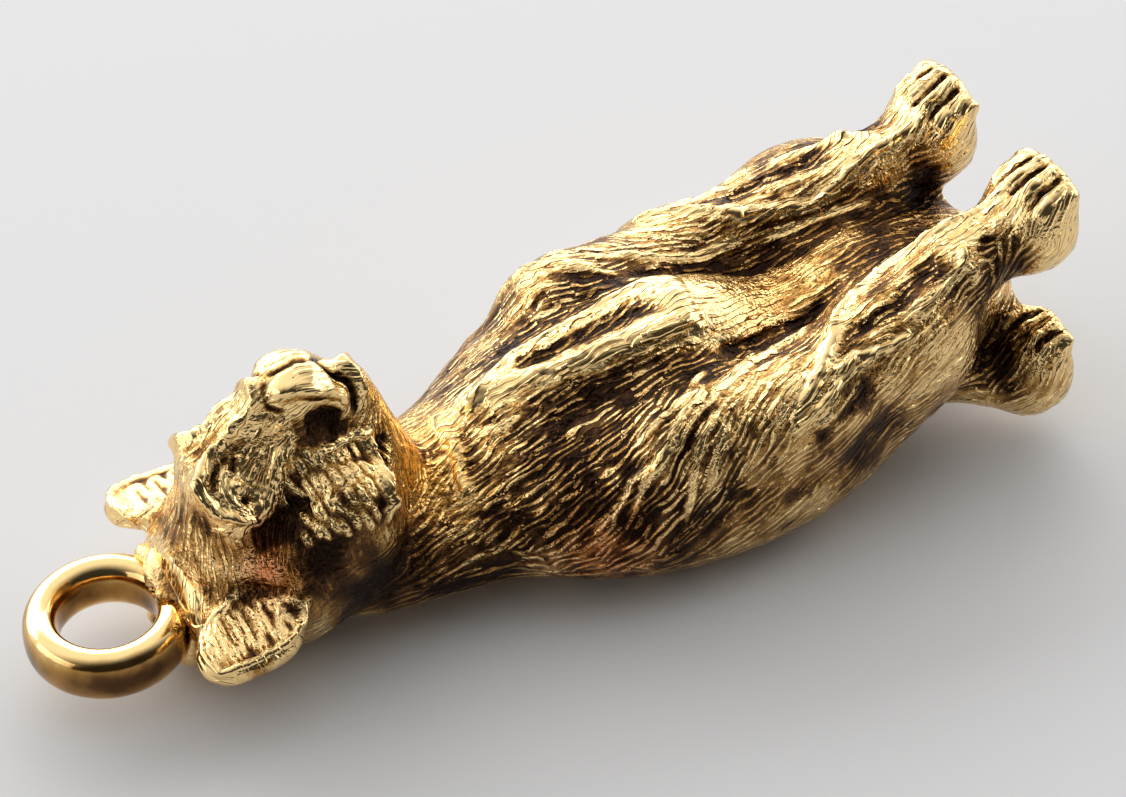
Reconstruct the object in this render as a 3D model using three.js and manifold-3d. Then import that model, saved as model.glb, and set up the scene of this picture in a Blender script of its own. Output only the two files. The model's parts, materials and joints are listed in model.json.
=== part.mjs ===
// Cat charm: a solid cast cat that sits upright on straight forelegs, with a plain closed ring
// soldered to its crown. Three pieces, none of which moves: the casting, the ring and the solder.
//
// Millimetres. The cat is shaped sitting: +X is its front, +Y its left side, +Z up, its soles on
// z = 0 and its back on x = 0. At the end it is laid on its back, as a loose charm lies on a table.

import * as THREE from "three";
import { mergeVertices } from "three/addons/utils/BufferGeometryUtils.js";
import Module from "manifold-3d";

const solids = await Module();
solids.setup();

// Ring and solder. The turn counts set how many flats the round forms have.
const ringHole = 2.04;
const ringThickness = 0.76;
const ringDepth = 1.2;
const ringFromBack = 1.4;
const ringFootFiling = 0.3;
const ringTurns = 46;
const ringWireTurns = 14;
const solderThickness = 0.16;
const solderLength = 2.6;
const solderWidth = 2.1;
const solderClimb = 0.5;
const solderClearance = 0.06;
const solderTurns = 32;
const grooveTurns = 80;
const grooveWireTurns = 28;
const seatMargin = 0.3;
const bossDepth = 1.6;

// Forelegs
const pawLength = 3.25;
const pawWidth = 2.5;
const pawHeight = 1.6;
const pawFromBack = 5.55;
const pawSpread = 1.95;
const stanceShift = 0.08;
const instepSetBack = 0.15;
const toeWidth = 0.6;
const wristHeight = 2.6;
const wristThickness = 1.9;
const wristFromBack = 4.9;
const forearmLength = 4.4;
const elbowThickness = 2.3;
const elbowFromBack = 3.4;
const elbowSpread = 2.85;
const upperArmLength = 3.25;
const shoulderThickness = 2.9;
const shoulderFromBack = 3.2;
const shoulderSpread = 2.5;

// Trunk. The back is rubbed flat where it rests on the table.
const restingCut = 0.08;
const chestDepth = 4.6;
const chestWidth = 7.0;
const chestLength = 9.6;
const chestHeight = 9.6;
const flankDepth = 3.5;
const flankWidth = 4.0;
const flankLength = 9.5;
const flankHeight = 8.9;
const flankSpread = 2.25;
const bladeThickness = 2.7;
const bladeFromBack = 1.7;
const bladeSpread = 1.55;
const crestThickness = 1.7;
const crestForward = 4.5;
const crestHeight = 9.0;
const bibForward = 2.9;
const bibRise = 1.9;
const midriffForward = 3.4;
const midriffHeight = 8.0;
const midriffThickness = 2.8;
const bellyForward = 3.0;
const bellyTipHeight = 5.3;
const bellyTipThickness = 1.2;
const webFromBack = 3.1;
const webThickness = 3.6;
const webWidth = 5.0;
const webHeight = 6.4;

// Hindquarters
const haunchDepth = 3.6;
const haunchWidth = 2.5;
const haunchLength = 4.4;
const haunchFromBack = 3.4;
const haunchHeight = 4.1;
const haunchSpread = 2.9;
const hipShift = 0.4;
const hipDrop = 0.55;
const loinThickness = 3.8;
const loinFromBack = 2.1;
const loinHeight = 4.9;
const rumpThickness = 2.2;
const rumpHeight = 2.2;
const kneeFromBack = 2.2;
const kneeSpread = 1.6;
const shankThickness = 1.5;
const hockFromBack = 1.9;
const hockSpread = 1.7;
const hockHeight = 2.8;
const hindPawLength = 3.1;
const hindPawWidth = 1.8;
const hindPawHeight = 1.5;
const hindPawFromBack = 1.8;
const hindPawSpread = 2.7;
const heelSetBack = 0.4;
const tailThickness = 1.1;
const tailRootFromBack = 0.75;
const tailRootHeight = 2.4;
const tailBendHeight = 4.2;
const tailTipHeight = 8.4;
const tailSwing = 0.9;

// Neck
const neckRise = 4.25;
const neckThickness = 3.0;
const neckRootThickness = 4.0;
const neckRootFromBack = 2.3;
const throatFromBack = 1.8;
const napeThickness = 2.1;
const napeFromBack = 1.5;
const napeSpread = 1.09;
const napeRise = 2.3;

// Head. Drops and rises are from the middle of the skull.
const skullRise = 4.2;
const skullDepth = 4.5;
const skullWidth = 4.9;
const skullHeight = 4.3;
const crownThickness = 3.6;
const crownFromBack = 2.4;
const crownRise = 0.3;
const foreheadThickness = 2.3;
const foreheadForward = 4.3;
const foreheadRise = 0.65;
const bridgeThickness = 2.0;
const bridgeEndThickness = 0.9;
const noseForward = 6.5;
const noseLength = 0.8;
const noseWidth = 0.8;
const noseHeight = 0.65;
const faceThickness = 2.6;
const faceForward = 4.0;
const muzzleForward = 6.55;
const muzzleDrop = 0.95;
const muzzleThickness = 1.4;
const whiskerPadLength = 1.2;
const whiskerPadWidth = 0.95;
const whiskerPadHeight = 1.45;
const jawThickness = 2.9;
const jawForward = 2.6;
const jawDrop = 2.3;
const chinThickness = 1.0;
const chinDrop = 1.95;
const cheekForward = 3.1;
const cheekSpread = 1.35;
const cheekDrop = 1.3;
const cheekLength = 3.5;
const cheekThickness = 2.1;
const cheekHeight = 2.4;
const browThickness = 0.75;
const browForward = 5.05;
const browSpread = 0.6;
const browRise = 1.45;
const browEndThickness = 0.4;
const browEndForward = 4.1;
const browEndSpread = 1.6;
const browEndRise = 1.2;
const eyeSpread = 1.0;
const eyeForward = 4.65;
const eyeRise = 1.0;
const eyeSize = 0.95;
const socketForward = 5.45;
const socketDepth = 1.0;
const socketWidth = 1.3;
const socketHeight = 0.9;
const earHeight = 2.6;
const earWidth = 2.1;
const earTipWidth = 1.45;
const earThickness = 1.1;
const earFromBack = 2.2;
const earSpread = 2.3;
const earRootDrop = 0.9;
const earDish = 0.4;
const earDishWidth = 1.65;
const earDishTipWidth = 1.0;

// How softly neighbouring forms run into each other
const broadBlend = 0.9;
const limbBlend = 0.5;
const jointBlend = 0.35;
const featureBlend = 0.15;
const crispBlend = 0.06;

// Fineness of the skin: small forms such as the face get the finer cells
const fineCell = 0.28;
const coarseCell = 0.56;
const cellChange = 1.3;

// Heights that follow from the sizes above
const elbowHeight = wristHeight + forearmLength;
const shoulderHeight = elbowHeight + upperArmLength;
const neckHeight = shoulderHeight + neckRise;
const skullHeightMid = neckHeight + skullRise;
const crownHeight = skullHeightMid + skullHeight / 2;
const seatHeight = crownHeight - solderThickness / 2;
const footHeight = seatHeight + solderThickness;

const left = 1;
const right = -1;
const bothSides = [left, right];

// A place in the sitting cat's frame.
const at = (x, y, z) => new THREE.Vector3(x, y, z);

// Shapes. Each is a function of a place that gives the distance to its skin, negative inside.

function ball(centre, diameter) {
  return (x, y, z) => Math.hypot(x - centre.x, y - centre.y, z - centre.z) - diameter / 2;
}

// An egg with its axes along X, Y and Z, pitched about its own Y axis by tilt radians.
function egg(centre, depth, width, height, tilt = 0) {
  const c = Math.cos(tilt);
  const s = Math.sin(tilt);
  const [a, b, h] = [depth / 2, width / 2, height / 2];
  return (x, y, z) => {
    const dx = x - centre.x;
    const dy = y - centre.y;
    const dz = z - centre.z;
    const u = c * dx + s * dz;
    const w = c * dz - s * dx;
    const near = Math.hypot(u / a, dy / b, w / h);
    const slope = Math.hypot(u / (a * a), dy / (b * b), w / (h * h));
    return slope < 1e-9 ? -Math.min(a, b, h) : (near * (near - 1)) / slope;
  };
}

// A limb that tapers from one ball to another.
function taper(from, to, fromSize, toSize) {
  const bone = to.clone().sub(from);
  const length2 = bone.lengthSq();
  const step = (fromSize - toSize) / 2;
  const side2 = length2 - step * step;
  if (side2 <= 0) return step > 0 ? ball(from, fromSize) : ball(to, toSize);
  return (x, y, z) => {
    const px = x - from.x;
    const py = y - from.y;
    const pz = z - from.z;
    const along = px * bone.x + py * bone.y + pz * bone.z;
    const beyond = along - length2;
    const off2 =
      (px * length2 - bone.x * along) ** 2 +
      (py * length2 - bone.y * along) ** 2 +
      (pz * length2 - bone.z * along) ** 2;
    const lean = Math.sign(step) * step * step * off2;
    const past = beyond * beyond * length2;
    const before = along * along * length2;
    if (Math.sign(beyond) * side2 * past > lean) return Math.sqrt(off2 + past) / length2 - toSize / 2;
    if (Math.sign(along) * side2 * before < lean) return Math.sqrt(off2 + before) / length2 - fromSize / 2;
    return (Math.sqrt((off2 * side2) / length2) + along * step) / length2 - fromSize / 2;
  };
}

// A shape pressed flat along a direction through a centre, to a share of its thickness.
function pressed(shape, centre, direction, share) {
  const n = direction.clone().normalize();
  return (x, y, z) => {
    const off = (x - centre.x) * n.x + (y - centre.y) * n.y + (z - centre.z) * n.z;
    const k = off / share - off;
    return shape(x + n.x * k, y + n.y * k, z + n.z * k) * Math.max(share, 0.5);
  };
}

// A body of wax: shapes are pressed on or scooped out, each with its own soft blend.
class Wax {
  steps = [];

  add(shape, blend) {
    this.steps.push({ shape, blend, scooped: false });
  }

  scoop(shape, blend) {
    this.steps.push({ shape, blend, scooped: true });
  }

  skin() {
    return (x, y, z) => {
      let depth = 1e3;
      for (const { shape, blend, scooped } of this.steps) {
        const d = scooped ? -depth : depth;
        const other = shape(x, y, z);
        const soft = Math.max(blend - Math.abs(d - other), 0) / blend;
        const joined = Math.min(d, other) - (soft * soft * blend) / 4;
        depth = scooped ? -joined : joined;
      }
      return depth;
    };
  }
}

function shapeTrunk(wax) {
  wax.add(egg(at(chestDepth / 2, 0, chestHeight), chestDepth, chestWidth, chestLength), limbBlend);
  for (const side of bothSides) {
    const flank = at(flankDepth / 2, side * flankSpread, flankHeight);
    const nape = at(napeFromBack, side * napeSpread, neckHeight + napeRise);
    const blade = at(bladeFromBack, side * bladeSpread, shoulderHeight);
    wax.add(egg(flank, flankDepth, flankWidth, flankLength), broadBlend);
    wax.add(taper(nape, blade, napeThickness, bladeThickness), broadBlend);
  }
  const throat = at(throatFromBack, 0, neckHeight);
  const neckRoot = at(neckRootFromBack, 0, shoulderHeight);
  const bib = at(bibForward, 0, shoulderHeight + bibRise);
  const crest = at(crestForward, 0, crestHeight);
  const midriff = at(midriffForward, 0, midriffHeight);
  const bellyTip = at(bellyForward, 0, bellyTipHeight);
  const loin = at(loinFromBack, 0, loinHeight);
  const rump = at(loinFromBack, 0, rumpHeight);
  wax.add(taper(throat, neckRoot, neckThickness, neckRootThickness), broadBlend);
  wax.add(taper(bib, crest, crestThickness, crestThickness), broadBlend);
  wax.add(taper(midriff, bellyTip, midriffThickness, bellyTipThickness), broadBlend);
  wax.add(taper(loin, rump, loinThickness, rumpThickness), broadBlend);
  wax.add(egg(at(webFromBack, 0, webHeight / 2), webThickness, webWidth, webHeight), limbBlend);
}

// The tail is pressed along the back, from the rump up past the middle.
function shapeTail(wax) {
  const root = at(tailRootFromBack, hipShift, tailRootHeight);
  const bend = at(tailThickness * 0.4, tailSwing, tailBendHeight);
  const tip = at(tailThickness * 0.4, -tailSwing, tailTipHeight);
  wax.add(taper(root, bend, tailThickness, tailThickness), jointBlend);
  wax.add(taper(bend, tip, tailThickness, tailThickness * 0.7), jointBlend);
}

// Four toes side by side. The outer two are set back.
function shapeToes(wax, paw, length, width, toe) {
  for (const place of [-1.5, -0.5, 0.5, 1.5]) {
    const reach = length / 2 - toe * (Math.abs(place) > 1 ? 0.8 : 0.5);
    const y = paw.y + (place * width) / 4.3;
    const knuckle = at(paw.x + reach - toe, y, toe * 1.3);
    const tip = at(paw.x + reach, y, toe * 0.55);
    wax.add(taper(knuckle, tip, toe, toe), crispBlend);
  }
}

function shapeForeleg(wax, side) {
  const y = side * pawSpread + stanceShift;
  const shoulder = at(shoulderFromBack, side * shoulderSpread, shoulderHeight);
  const elbow = at(elbowFromBack, side * elbowSpread, elbowHeight);
  const wrist = at(wristFromBack, y, wristHeight);
  const instep = at(pawFromBack - instepSetBack, y, pawHeight * 0.55);
  const paw = at(pawFromBack, y, pawHeight * 0.42);
  wax.add(taper(shoulder, elbow, shoulderThickness, elbowThickness), limbBlend);
  wax.add(taper(elbow, wrist, elbowThickness, wristThickness), limbBlend);
  wax.add(taper(wrist, instep, wristThickness, pawHeight), jointBlend);
  wax.add(egg(paw, pawLength - toeWidth, pawWidth, pawHeight * 1.3, -0.1), jointBlend);
  shapeToes(wax, paw, pawLength, pawWidth, toeWidth);
}

// The hips sit askew: one haunch is lower than the other and both are shifted to the same side.
function shapeHindleg(wax, side) {
  const haunch = at(haunchFromBack, side * haunchSpread + hipShift, haunchHeight - side * hipDrop);
  const knee = at(kneeFromBack, side * kneeSpread, haunchHeight);
  const hock = at(hockFromBack, side * hockSpread, hockHeight);
  const instep = at(hindPawFromBack - heelSetBack, side * hindPawSpread, hindPawHeight * 0.6);
  const paw = at(hindPawFromBack, side * hindPawSpread, hindPawHeight * 0.42);
  const toe = toeWidth * 0.8;
  wax.add(egg(haunch, haunchDepth, haunchWidth, haunchLength), broadBlend);
  wax.add(taper(knee, hock, shankThickness * 1.3, shankThickness), limbBlend);
  wax.add(taper(hock, instep, shankThickness, hindPawHeight * 0.9), jointBlend);
  wax.add(egg(paw, hindPawLength - toe, hindPawWidth, hindPawHeight * 1.2), jointBlend);
  shapeToes(wax, paw, hindPawLength, hindPawWidth, toe);
}

// The head tips back a little: the forehead is nearly level with the crown, and the nose is low.
function shapeHead(wax) {
  const z = skullHeightMid;
  const head = new Wax();
  const crown = at(crownFromBack, 0, z + crownRise);
  const forehead = at(foreheadForward, 0, z + foreheadRise);
  const nose = at(noseForward, 0, z);
  const bridgeEnd = at(noseForward - noseLength / 2, 0, z);
  const face = at(faceForward, 0, z - muzzleDrop);
  const muzzle = at(muzzleForward - whiskerPadLength / 2, 0, z - muzzleDrop);
  const jaw = at(jawForward, 0, z - jawDrop);
  const chin = at(muzzleForward - chinThickness / 2, 0, z - chinDrop);
  head.add(egg(at(skullDepth / 2, 0, z), skullDepth, skullWidth, skullHeight), broadBlend);
  head.add(taper(crown, forehead, crownThickness, foreheadThickness), limbBlend);
  head.add(taper(forehead, bridgeEnd, bridgeThickness, bridgeEndThickness), jointBlend);
  head.add(taper(face, muzzle, faceThickness, muzzleThickness), jointBlend);
  head.add(taper(jaw, chin, jawThickness, chinThickness), jointBlend);
  for (const side of bothSides) {
    const cheek = at(cheekForward, side * cheekSpread, z - cheekDrop);
    const brow = at(browForward, side * browSpread, z + browRise);
    const browEnd = at(browEndForward, side * browEndSpread, z + browEndRise);
    const socket = at(socketForward, side * (eyeSpread + 0.2 * eyeSize), z + eyeRise);
    const eye = at(eyeForward, side * eyeSpread, z + eyeRise);
    const pad = at(muzzleForward, side * whiskerPadWidth * 0.35, z - muzzleDrop);
    head.add(egg(cheek, cheekLength, cheekThickness, cheekHeight), limbBlend);
    head.add(taper(brow, browEnd, browThickness, browEndThickness), jointBlend);
    head.scoop(egg(socket, socketDepth, socketWidth, socketHeight), featureBlend);
    head.add(ball(eye, eyeSize), crispBlend);
    head.add(egg(pad, whiskerPadLength, whiskerPadWidth, whiskerPadHeight), featureBlend);
    shapeEar(head, side);
  }
  head.add(egg(nose, noseLength, noseWidth, noseHeight), featureBlend);
  const boss = at(ringFromBack, 0, seatHeight - bossDepth * 0.3);
  head.add(egg(boss, solderWidth + seatMargin * 3, solderLength + seatMargin * 3, bossDepth), jointBlend);
  wax.add(head.skin(), jointBlend);
}

// An ear is a thick leaf that stands up from the side of the skull, dished in front.
function shapeEar(head, side) {
  const root = at(earFromBack, side * earSpread, crownHeight - earRootDrop);
  const lean = at(-0.15, side * 0.36, 0.9).normalize();
  const face = at(0.94, side * 0.2, 0.12).normalize();
  const tip = root.clone().addScaledVector(lean, earHeight - (earWidth + earTipWidth) / 2);
  const leaf = pressed(taper(root, tip, earWidth, earTipWidth), root, face, earThickness / earWidth);
  head.add(leaf, jointBlend);
  const low = root.clone().addScaledVector(face, earThickness / 2);
  const high = tip.clone().addScaledVector(face, earThickness / 2);
  const hollow = taper(low, high, earDishWidth, earDishTipWidth);
  head.scoop(pressed(hollow, low, face, (earDish * 2) / earDishWidth), crispBlend);
}

function shapeCat() {
  const wax = new Wax();
  shapeTrunk(wax);
  shapeTail(wax);
  for (const side of bothSides) {
    shapeHindleg(wax, side);
    shapeForeleg(wax, side);
  }
  shapeHead(wax);
  return wax.skin();
}

// A closed surface over a shape. The grid is a stack of layers; its cells widen from layer to
// layer as cellAt says, so that small forms get the finer ones. Each cell that the skin crosses
// gives one vertex, and each grid edge that it crosses gives one four-sided face.
function skinOver(shape, low, high, cellAt) {
  const layers = [low.z];
  while (layers.at(-1) < high.z) layers.push(layers.at(-1) + cellAt(layers.at(-1)));
  const finest = Math.min(...layers.map(cellAt));
  const firstX = Math.floor(low.x / finest) - 1;
  const nx = Math.ceil(high.x / finest) + 2 - firstX;
  const firstY = Math.floor(low.y / finest) - 1;
  const ny = Math.ceil(high.y / finest) + 2 - firstY;
  const nz = layers.length;
  const index = (i, j, k) => (k * ny + j) * nx + i;
  const corner = (i, j, k) => {
    const cell = cellAt(layers[k]);
    return [(firstX + i - 0.5) * cell, (firstY + j) * cell, layers[k]];
  };
  const onRim = (i, j, k) => i * j * k === 0 || i === nx - 1 || j === ny - 1 || k === nz - 1;
  const value = new Float64Array(nx * ny * nz);
  eachCorner(nx, ny, nz, (i, j, k) => {
    value[index(i, j, k)] = onRim(i, j, k) ? 1 : shape(...corner(i, j, k));
  });
  fillPinches(value, nx, ny, nz, index, finest);

  const points = [];
  const pointOf = new Int32Array(nx * ny * nz).fill(-1);
  eachCorner(nx - 1, ny - 1, nz - 1, (i, j, k) => {
    const crossings = [];
    for (let a = 0; a < 7; a++)
      for (const bit of [1, 2, 4]) {
        if (a & bit) continue;
        const p = [i + (a & 1), j + ((a >> 1) & 1), k + (a >> 2)];
        const q = [i + ((a | bit) & 1), j + (((a | bit) >> 1) & 1), k + ((a | bit) >> 2)];
        const [vp, vq] = [value[index(...p)], value[index(...q)]];
        if (vp < 0 !== vq < 0) crossings.push(between(corner(...p), corner(...q), vp / (vp - vq)));
      }
    if (!crossings.length) return;
    const mean = [0, 1, 2].map((n) => crossings.reduce((sum, c) => sum + c[n], 0) / crossings.length);
    pointOf[index(i, j, k)] = points.length;
    points.push(drawnOnto(shape, mean, cellAt(layers[k]) * 0.3));
  });

  const faces = [];
  const addFace = (cells, outward) => {
    const f = outward ? cells : cells.toReversed();
    const short = distance(points[f[0]], points[f[2]]) <= distance(points[f[1]], points[f[3]]);
    if (short) faces.push(f[0], f[1], f[2], f[0], f[2], f[3]);
    else faces.push(f[1], f[2], f[3], f[1], f[3], f[0]);
  };
  eachCorner(nx - 1, ny - 1, nz - 1, (i, j, k) => {
    if (onRim(i, j, k)) return;
    const solid = value[index(i, j, k)] < 0;
    const cell = (a, b, c) => pointOf[index(i - a, j - b, k - c)];
    if (solid !== value[index(i + 1, j, k)] < 0)
      addFace([cell(0, 1, 1), cell(0, 0, 1), cell(0, 0, 0), cell(0, 1, 0)], solid);
    if (solid !== value[index(i, j + 1, k)] < 0)
      addFace([cell(1, 0, 1), cell(1, 0, 0), cell(0, 0, 0), cell(0, 0, 1)], solid);
    if (solid !== value[index(i, j, k + 1)] < 0)
      addFace([cell(1, 1, 0), cell(0, 1, 0), cell(0, 0, 0), cell(1, 0, 0)], solid);
  });
  return { points, faces };
}

function eachCorner(nx, ny, nz, visit) {
  for (let k = 0; k < nz; k++) for (let j = 0; j < ny; j++) for (let i = 0; i < nx; i++) visit(i, j, k);
}

const between = (p, q, t) => p.map((v, n) => v + (q[n] - v) * t);
const distance = (p, q) => Math.hypot(p[0] - q[0], p[1] - q[1], p[2] - q[2]);

// Draws a point onto the skin along the shape's slope, by no more than reach.
function drawnOnto(shape, point, reach) {
  let p = point;
  const e = 1e-3;
  for (let turn = 0; turn < 3; turn++) {
    const depth = shape(...p);
    const slope = [0, 1, 2].map((n) => {
      const ahead = p.map((v, m) => (m === n ? v + e : v));
      const behind = p.map((v, m) => (m === n ? v - e : v));
      return (shape(...ahead) - shape(...behind)) / (2 * e);
    });
    const steep = Math.max(slope[0] ** 2 + slope[1] ** 2 + slope[2] ** 2, 0.05);
    p = p.map((v, n) => v - (slope[n] * depth) / steep);
  }
  const moved = distance(p, point);
  return moved > reach ? between(point, p, reach / moved) : p;
}

// Fills the grid corners where two bits of skin would meet at a single edge or point.
function fillPinches(value, nx, ny, nz, index, cell) {
  const filled = -cell * 0.05;
  const axes = [[1, 0, 0], [0, 1, 0], [0, 0, 1]];
  let pinched = true;
  while (pinched) {
    pinched = false;
    eachCorner(nx - 1, ny - 1, nz - 1, (i, j, k) => {
      axes.forEach((u, n) => {
        const w = axes[(n + 1) % 3];
        const square = [
          index(i, j, k),
          index(i + u[0], j + u[1], k + u[2]),
          index(i + u[0] + w[0], j + u[1] + w[1], k + u[2] + w[2]),
          index(i + w[0], j + w[1], k + w[2]),
        ];
        const solid = square.map((c) => value[c] < 0);
        if (solid[0] !== solid[2] || solid[1] !== solid[3] || solid[0] === solid[1]) return;
        for (const c of square) value[c] = Math.min(value[c], filled);
        pinched = true;
      });
      const cube = [0, 1, 2, 3, 4, 5, 6, 7].map((c) => index(i + (c & 1), j + ((c >> 1) & 1), k + (c >> 2)));
      const solids = [0, 1, 2, 3, 4, 5, 6, 7].filter((c) => value[cube[c]] < 0);
      const hollows = [0, 1, 2, 3, 4, 5, 6, 7].filter((c) => value[cube[c]] >= 0);
      if (solids.length === 2 && (solids[0] ^ solids[1]) === 7) {
        value[cube[solids[0] ^ 1]] = filled;
        value[cube[solids[0] ^ 3]] = filled;
        pinched = true;
      }
      if (hollows.length === 2 && (hollows[0] ^ hollows[1]) === 7) {
        value[cube[hollows[0]]] = filled;
        pinched = true;
      }
    });
  }
}

function geometryOf({ points, faces }) {
  const geometry = new THREE.BufferGeometry();
  geometry.setAttribute("position", new THREE.Float32BufferAttribute(points.flat(), 3));
  geometry.setIndex(faces);
  geometry.computeVertexNormals();
  return geometry;
}

// Cells are fine at the head, middling at the paws and coarse along the trunk.
function castingCell(z) {
  const head = THREE.MathUtils.smoothstep(z, shoulderHeight + cellChange, neckHeight + cellChange);
  const paws = 1 - THREE.MathUtils.smoothstep(z, pawHeight, wristHeight + cellChange);
  return coarseCell + (fineCell - coarseCell) * Math.max(head, paws * 0.9);
}

// The casting ends flat at the soles, at the table side of its back and at the ring's seat.
function castingGeometry() {
  const cat = shapeCat();
  const [seatDepth, seatBreadth] = [solderWidth / 2 + seatMargin, solderLength / 2 + seatMargin];
  const onSeat = (x, y) => ((x - ringFromBack) / seatDepth) ** 2 + (y / seatBreadth) ** 2 < 1;
  const cast = (x, y, z) => {
    const seat = onSeat(x, y) ? z - seatHeight : -1;
    return Math.max(cat(x + restingCut, y, z), -z, -x, seat);
  };
  const cell = castingCell(0);
  const low = at(-cell, -haunchSpread - haunchWidth, -cell * 1.5);
  const high = at(pawFromBack + pawLength, haunchSpread + haunchWidth, crownHeight + earHeight);
  const skin = skinOver(cast, low, high, castingCell);
  for (const p of skin.points) {
    if (p[2] < cell / 2) p[2] = 0;
    if (p[0] < restingCut / 2) p[0] = 0;
    if (onSeat(p[0], p[1]) && Math.abs(p[2] - seatHeight) < fineCell / 4) p[2] = seatHeight;
  }
  return geometryOf(skin);
}

// A closed loop of oval wire about the X axis; swelling makes the wire thicker all round.
function loopOf(swelling, around, along) {
  const radius = (ringHole + ringThickness) / 2;
  const geometry = new THREE.TorusGeometry(radius, ringThickness / 2 + swelling, around, along);
  geometry.scale(1, 1, (ringDepth + 2 * swelling) / (ringThickness + 2 * swelling));
  geometry.rotateY(Math.PI / 2);
  geometry.deleteAttribute("normal");
  geometry.deleteAttribute("uv");
  return mergeVertices(geometry, 1e-4);
}

// The ring is filed flat where it is soldered down.
function ringGeometry() {
  const geometry = loopOf(0, ringWireTurns, ringTurns);
  const place = geometry.getAttribute("position");
  const foot = -ringHole / 2 - ringThickness + ringFootFiling;
  for (let n = 0; n < place.count; n++) place.setZ(n, Math.max(place.getZ(n), foot));
  geometry.computeVertexNormals();
  return geometry;
}

function ringCentre() {
  return at(ringFromBack, 0, footHeight - ringFootFiling + ringHole / 2 + ringThickness);
}

// The solder is a low mound on the flat seat. The ring's foot stands flat on it, and it clasps the
// wire in front and behind; hanging drops of it make the two ends thicker.
function solderGeometry() {
  const height = solderThickness + solderClimb;
  let mound = blob(at(0, 0, 0), solderWidth, solderLength, height * 2);
  for (const side of bothSides) {
    const drop = at(0, (side * solderLength) / 4, 0);
    mound = mound.add(blob(drop, solderWidth * 0.9, solderLength * 0.55, height * 1.9));
  }
  const clasped = solidOf(loopOf(solderClearance, grooveWireTurns, grooveTurns));
  const wire = clasped.translate([0, 0, ringCentre().z - seatHeight]);
  const groove = wire.trimByPlane([0, 0, 1], solderThickness);
  const solder = mound.trimByPlane([0, 0, 1], 0).subtract(groove);
  const { vertProperties, triVerts } = solder.translate([ringFromBack, 0, seatHeight]).getMesh();
  const geometry = new THREE.BufferGeometry();
  geometry.setAttribute("position", new THREE.BufferAttribute(vertProperties, 3));
  geometry.setIndex(Array.from(triVerts));
  geometry.computeVertexNormals();
  return geometry;
}

function blob(centre, depth, width, height) {
  const round = solids.Manifold.sphere(1, solderTurns).scale([depth / 2, width / 2, height / 2]);
  return round.translate(centre.toArray());
}

function solidOf(geometry) {
  const vertProperties = geometry.getAttribute("position").array;
  const triVerts = new Uint32Array(geometry.getIndex().array);
  return new solids.Manifold(new solids.Mesh({ numProp: 3, vertProperties, triVerts }));
}

function piece(name, geometry, color, roughness) {
  const material = new THREE.MeshStandardMaterial({ color, roughness, metalness: 1 });
  const mesh = new THREE.Mesh(geometry, material);
  mesh.name = name;
  return mesh;
}

const sitting = new THREE.Group();
const cat = piece("cat_casting", castingGeometry(), 0xd9a441, 0.34);
const ring = piece("hanging_ring", ringGeometry(), 0xe3b45a, 0.2);
const solder = piece("solder_collar", solderGeometry(), 0xd2a04a, 0.42);
ring.position.copy(ringCentre());
sitting.add(cat, ring, solder);

// Laid on its back: its front turns up, and its head points along -X.
sitting.rotation.y = -Math.PI / 2;
const charm = new THREE.Group();
charm.add(sitting);
const bounds = new THREE.Box3().setFromObject(charm);
sitting.position.x -= (bounds.min.x + bounds.max.x) / 2;
sitting.position.y -= (bounds.min.y + bounds.max.y) / 2;
sitting.position.z -= bounds.min.z;

export default charm;
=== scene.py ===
"""Looks for the cat charm: a cast, antique-gold cat with a soldered hanging ring, on a pale table.

Everything is in metres in the row frame: the cat lies on its back, its head towards -X and its chest up.
The carving is worked out in millimetres in the sitting cat's own frame: front, left and up.
"""

import json
import logging
import math
from dataclasses import dataclass
from enum import Enum

import bpy
import numpy as np
from bpy.types import Material, Mesh, NodeSocket, Object, ShaderNode, ShaderNodeTree, bpy_prop_collection
from mathutils import Matrix, Vector
from mathutils.kdtree import KDTree

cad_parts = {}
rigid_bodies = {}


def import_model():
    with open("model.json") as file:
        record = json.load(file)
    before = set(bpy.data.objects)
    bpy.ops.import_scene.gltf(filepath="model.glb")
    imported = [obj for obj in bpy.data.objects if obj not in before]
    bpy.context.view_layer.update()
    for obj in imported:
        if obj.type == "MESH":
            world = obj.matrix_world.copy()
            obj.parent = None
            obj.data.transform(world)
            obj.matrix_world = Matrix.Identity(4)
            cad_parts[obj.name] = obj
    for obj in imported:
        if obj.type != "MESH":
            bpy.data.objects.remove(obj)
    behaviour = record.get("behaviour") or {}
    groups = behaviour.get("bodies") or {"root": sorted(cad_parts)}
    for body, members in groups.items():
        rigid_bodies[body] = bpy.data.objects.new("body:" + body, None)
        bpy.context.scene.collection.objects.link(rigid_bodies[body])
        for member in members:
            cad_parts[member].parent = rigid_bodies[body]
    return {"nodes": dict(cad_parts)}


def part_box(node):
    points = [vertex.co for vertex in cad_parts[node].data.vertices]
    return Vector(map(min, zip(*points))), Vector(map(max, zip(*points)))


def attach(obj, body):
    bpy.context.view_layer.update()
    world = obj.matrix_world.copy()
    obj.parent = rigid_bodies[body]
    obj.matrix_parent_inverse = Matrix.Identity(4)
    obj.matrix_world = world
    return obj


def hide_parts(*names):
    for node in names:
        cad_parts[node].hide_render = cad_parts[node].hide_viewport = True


log = logging.getLogger("cat_charm")

MM = 0.001
WELD = 0.001
SMALL = 1e-9
TINY = 1e-12
BLUR_SHARE = 0.7
RELAX_SHARES = (0.6, -0.62)
TUFT_FRAY = 0.05
TUFT_SHIFT = 90
Array = np.ndarray
SHADES = ("Bright", "Deep", "Brown", "Patina")
Point = tuple[float, float, float]
Feed = NodeSocket | float | tuple[float, ...]


class Slot(Enum):
    """The record's material slots."""

    CASTING = "casting"
    RING = "ring"
    SOLDER = "solder"


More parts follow.
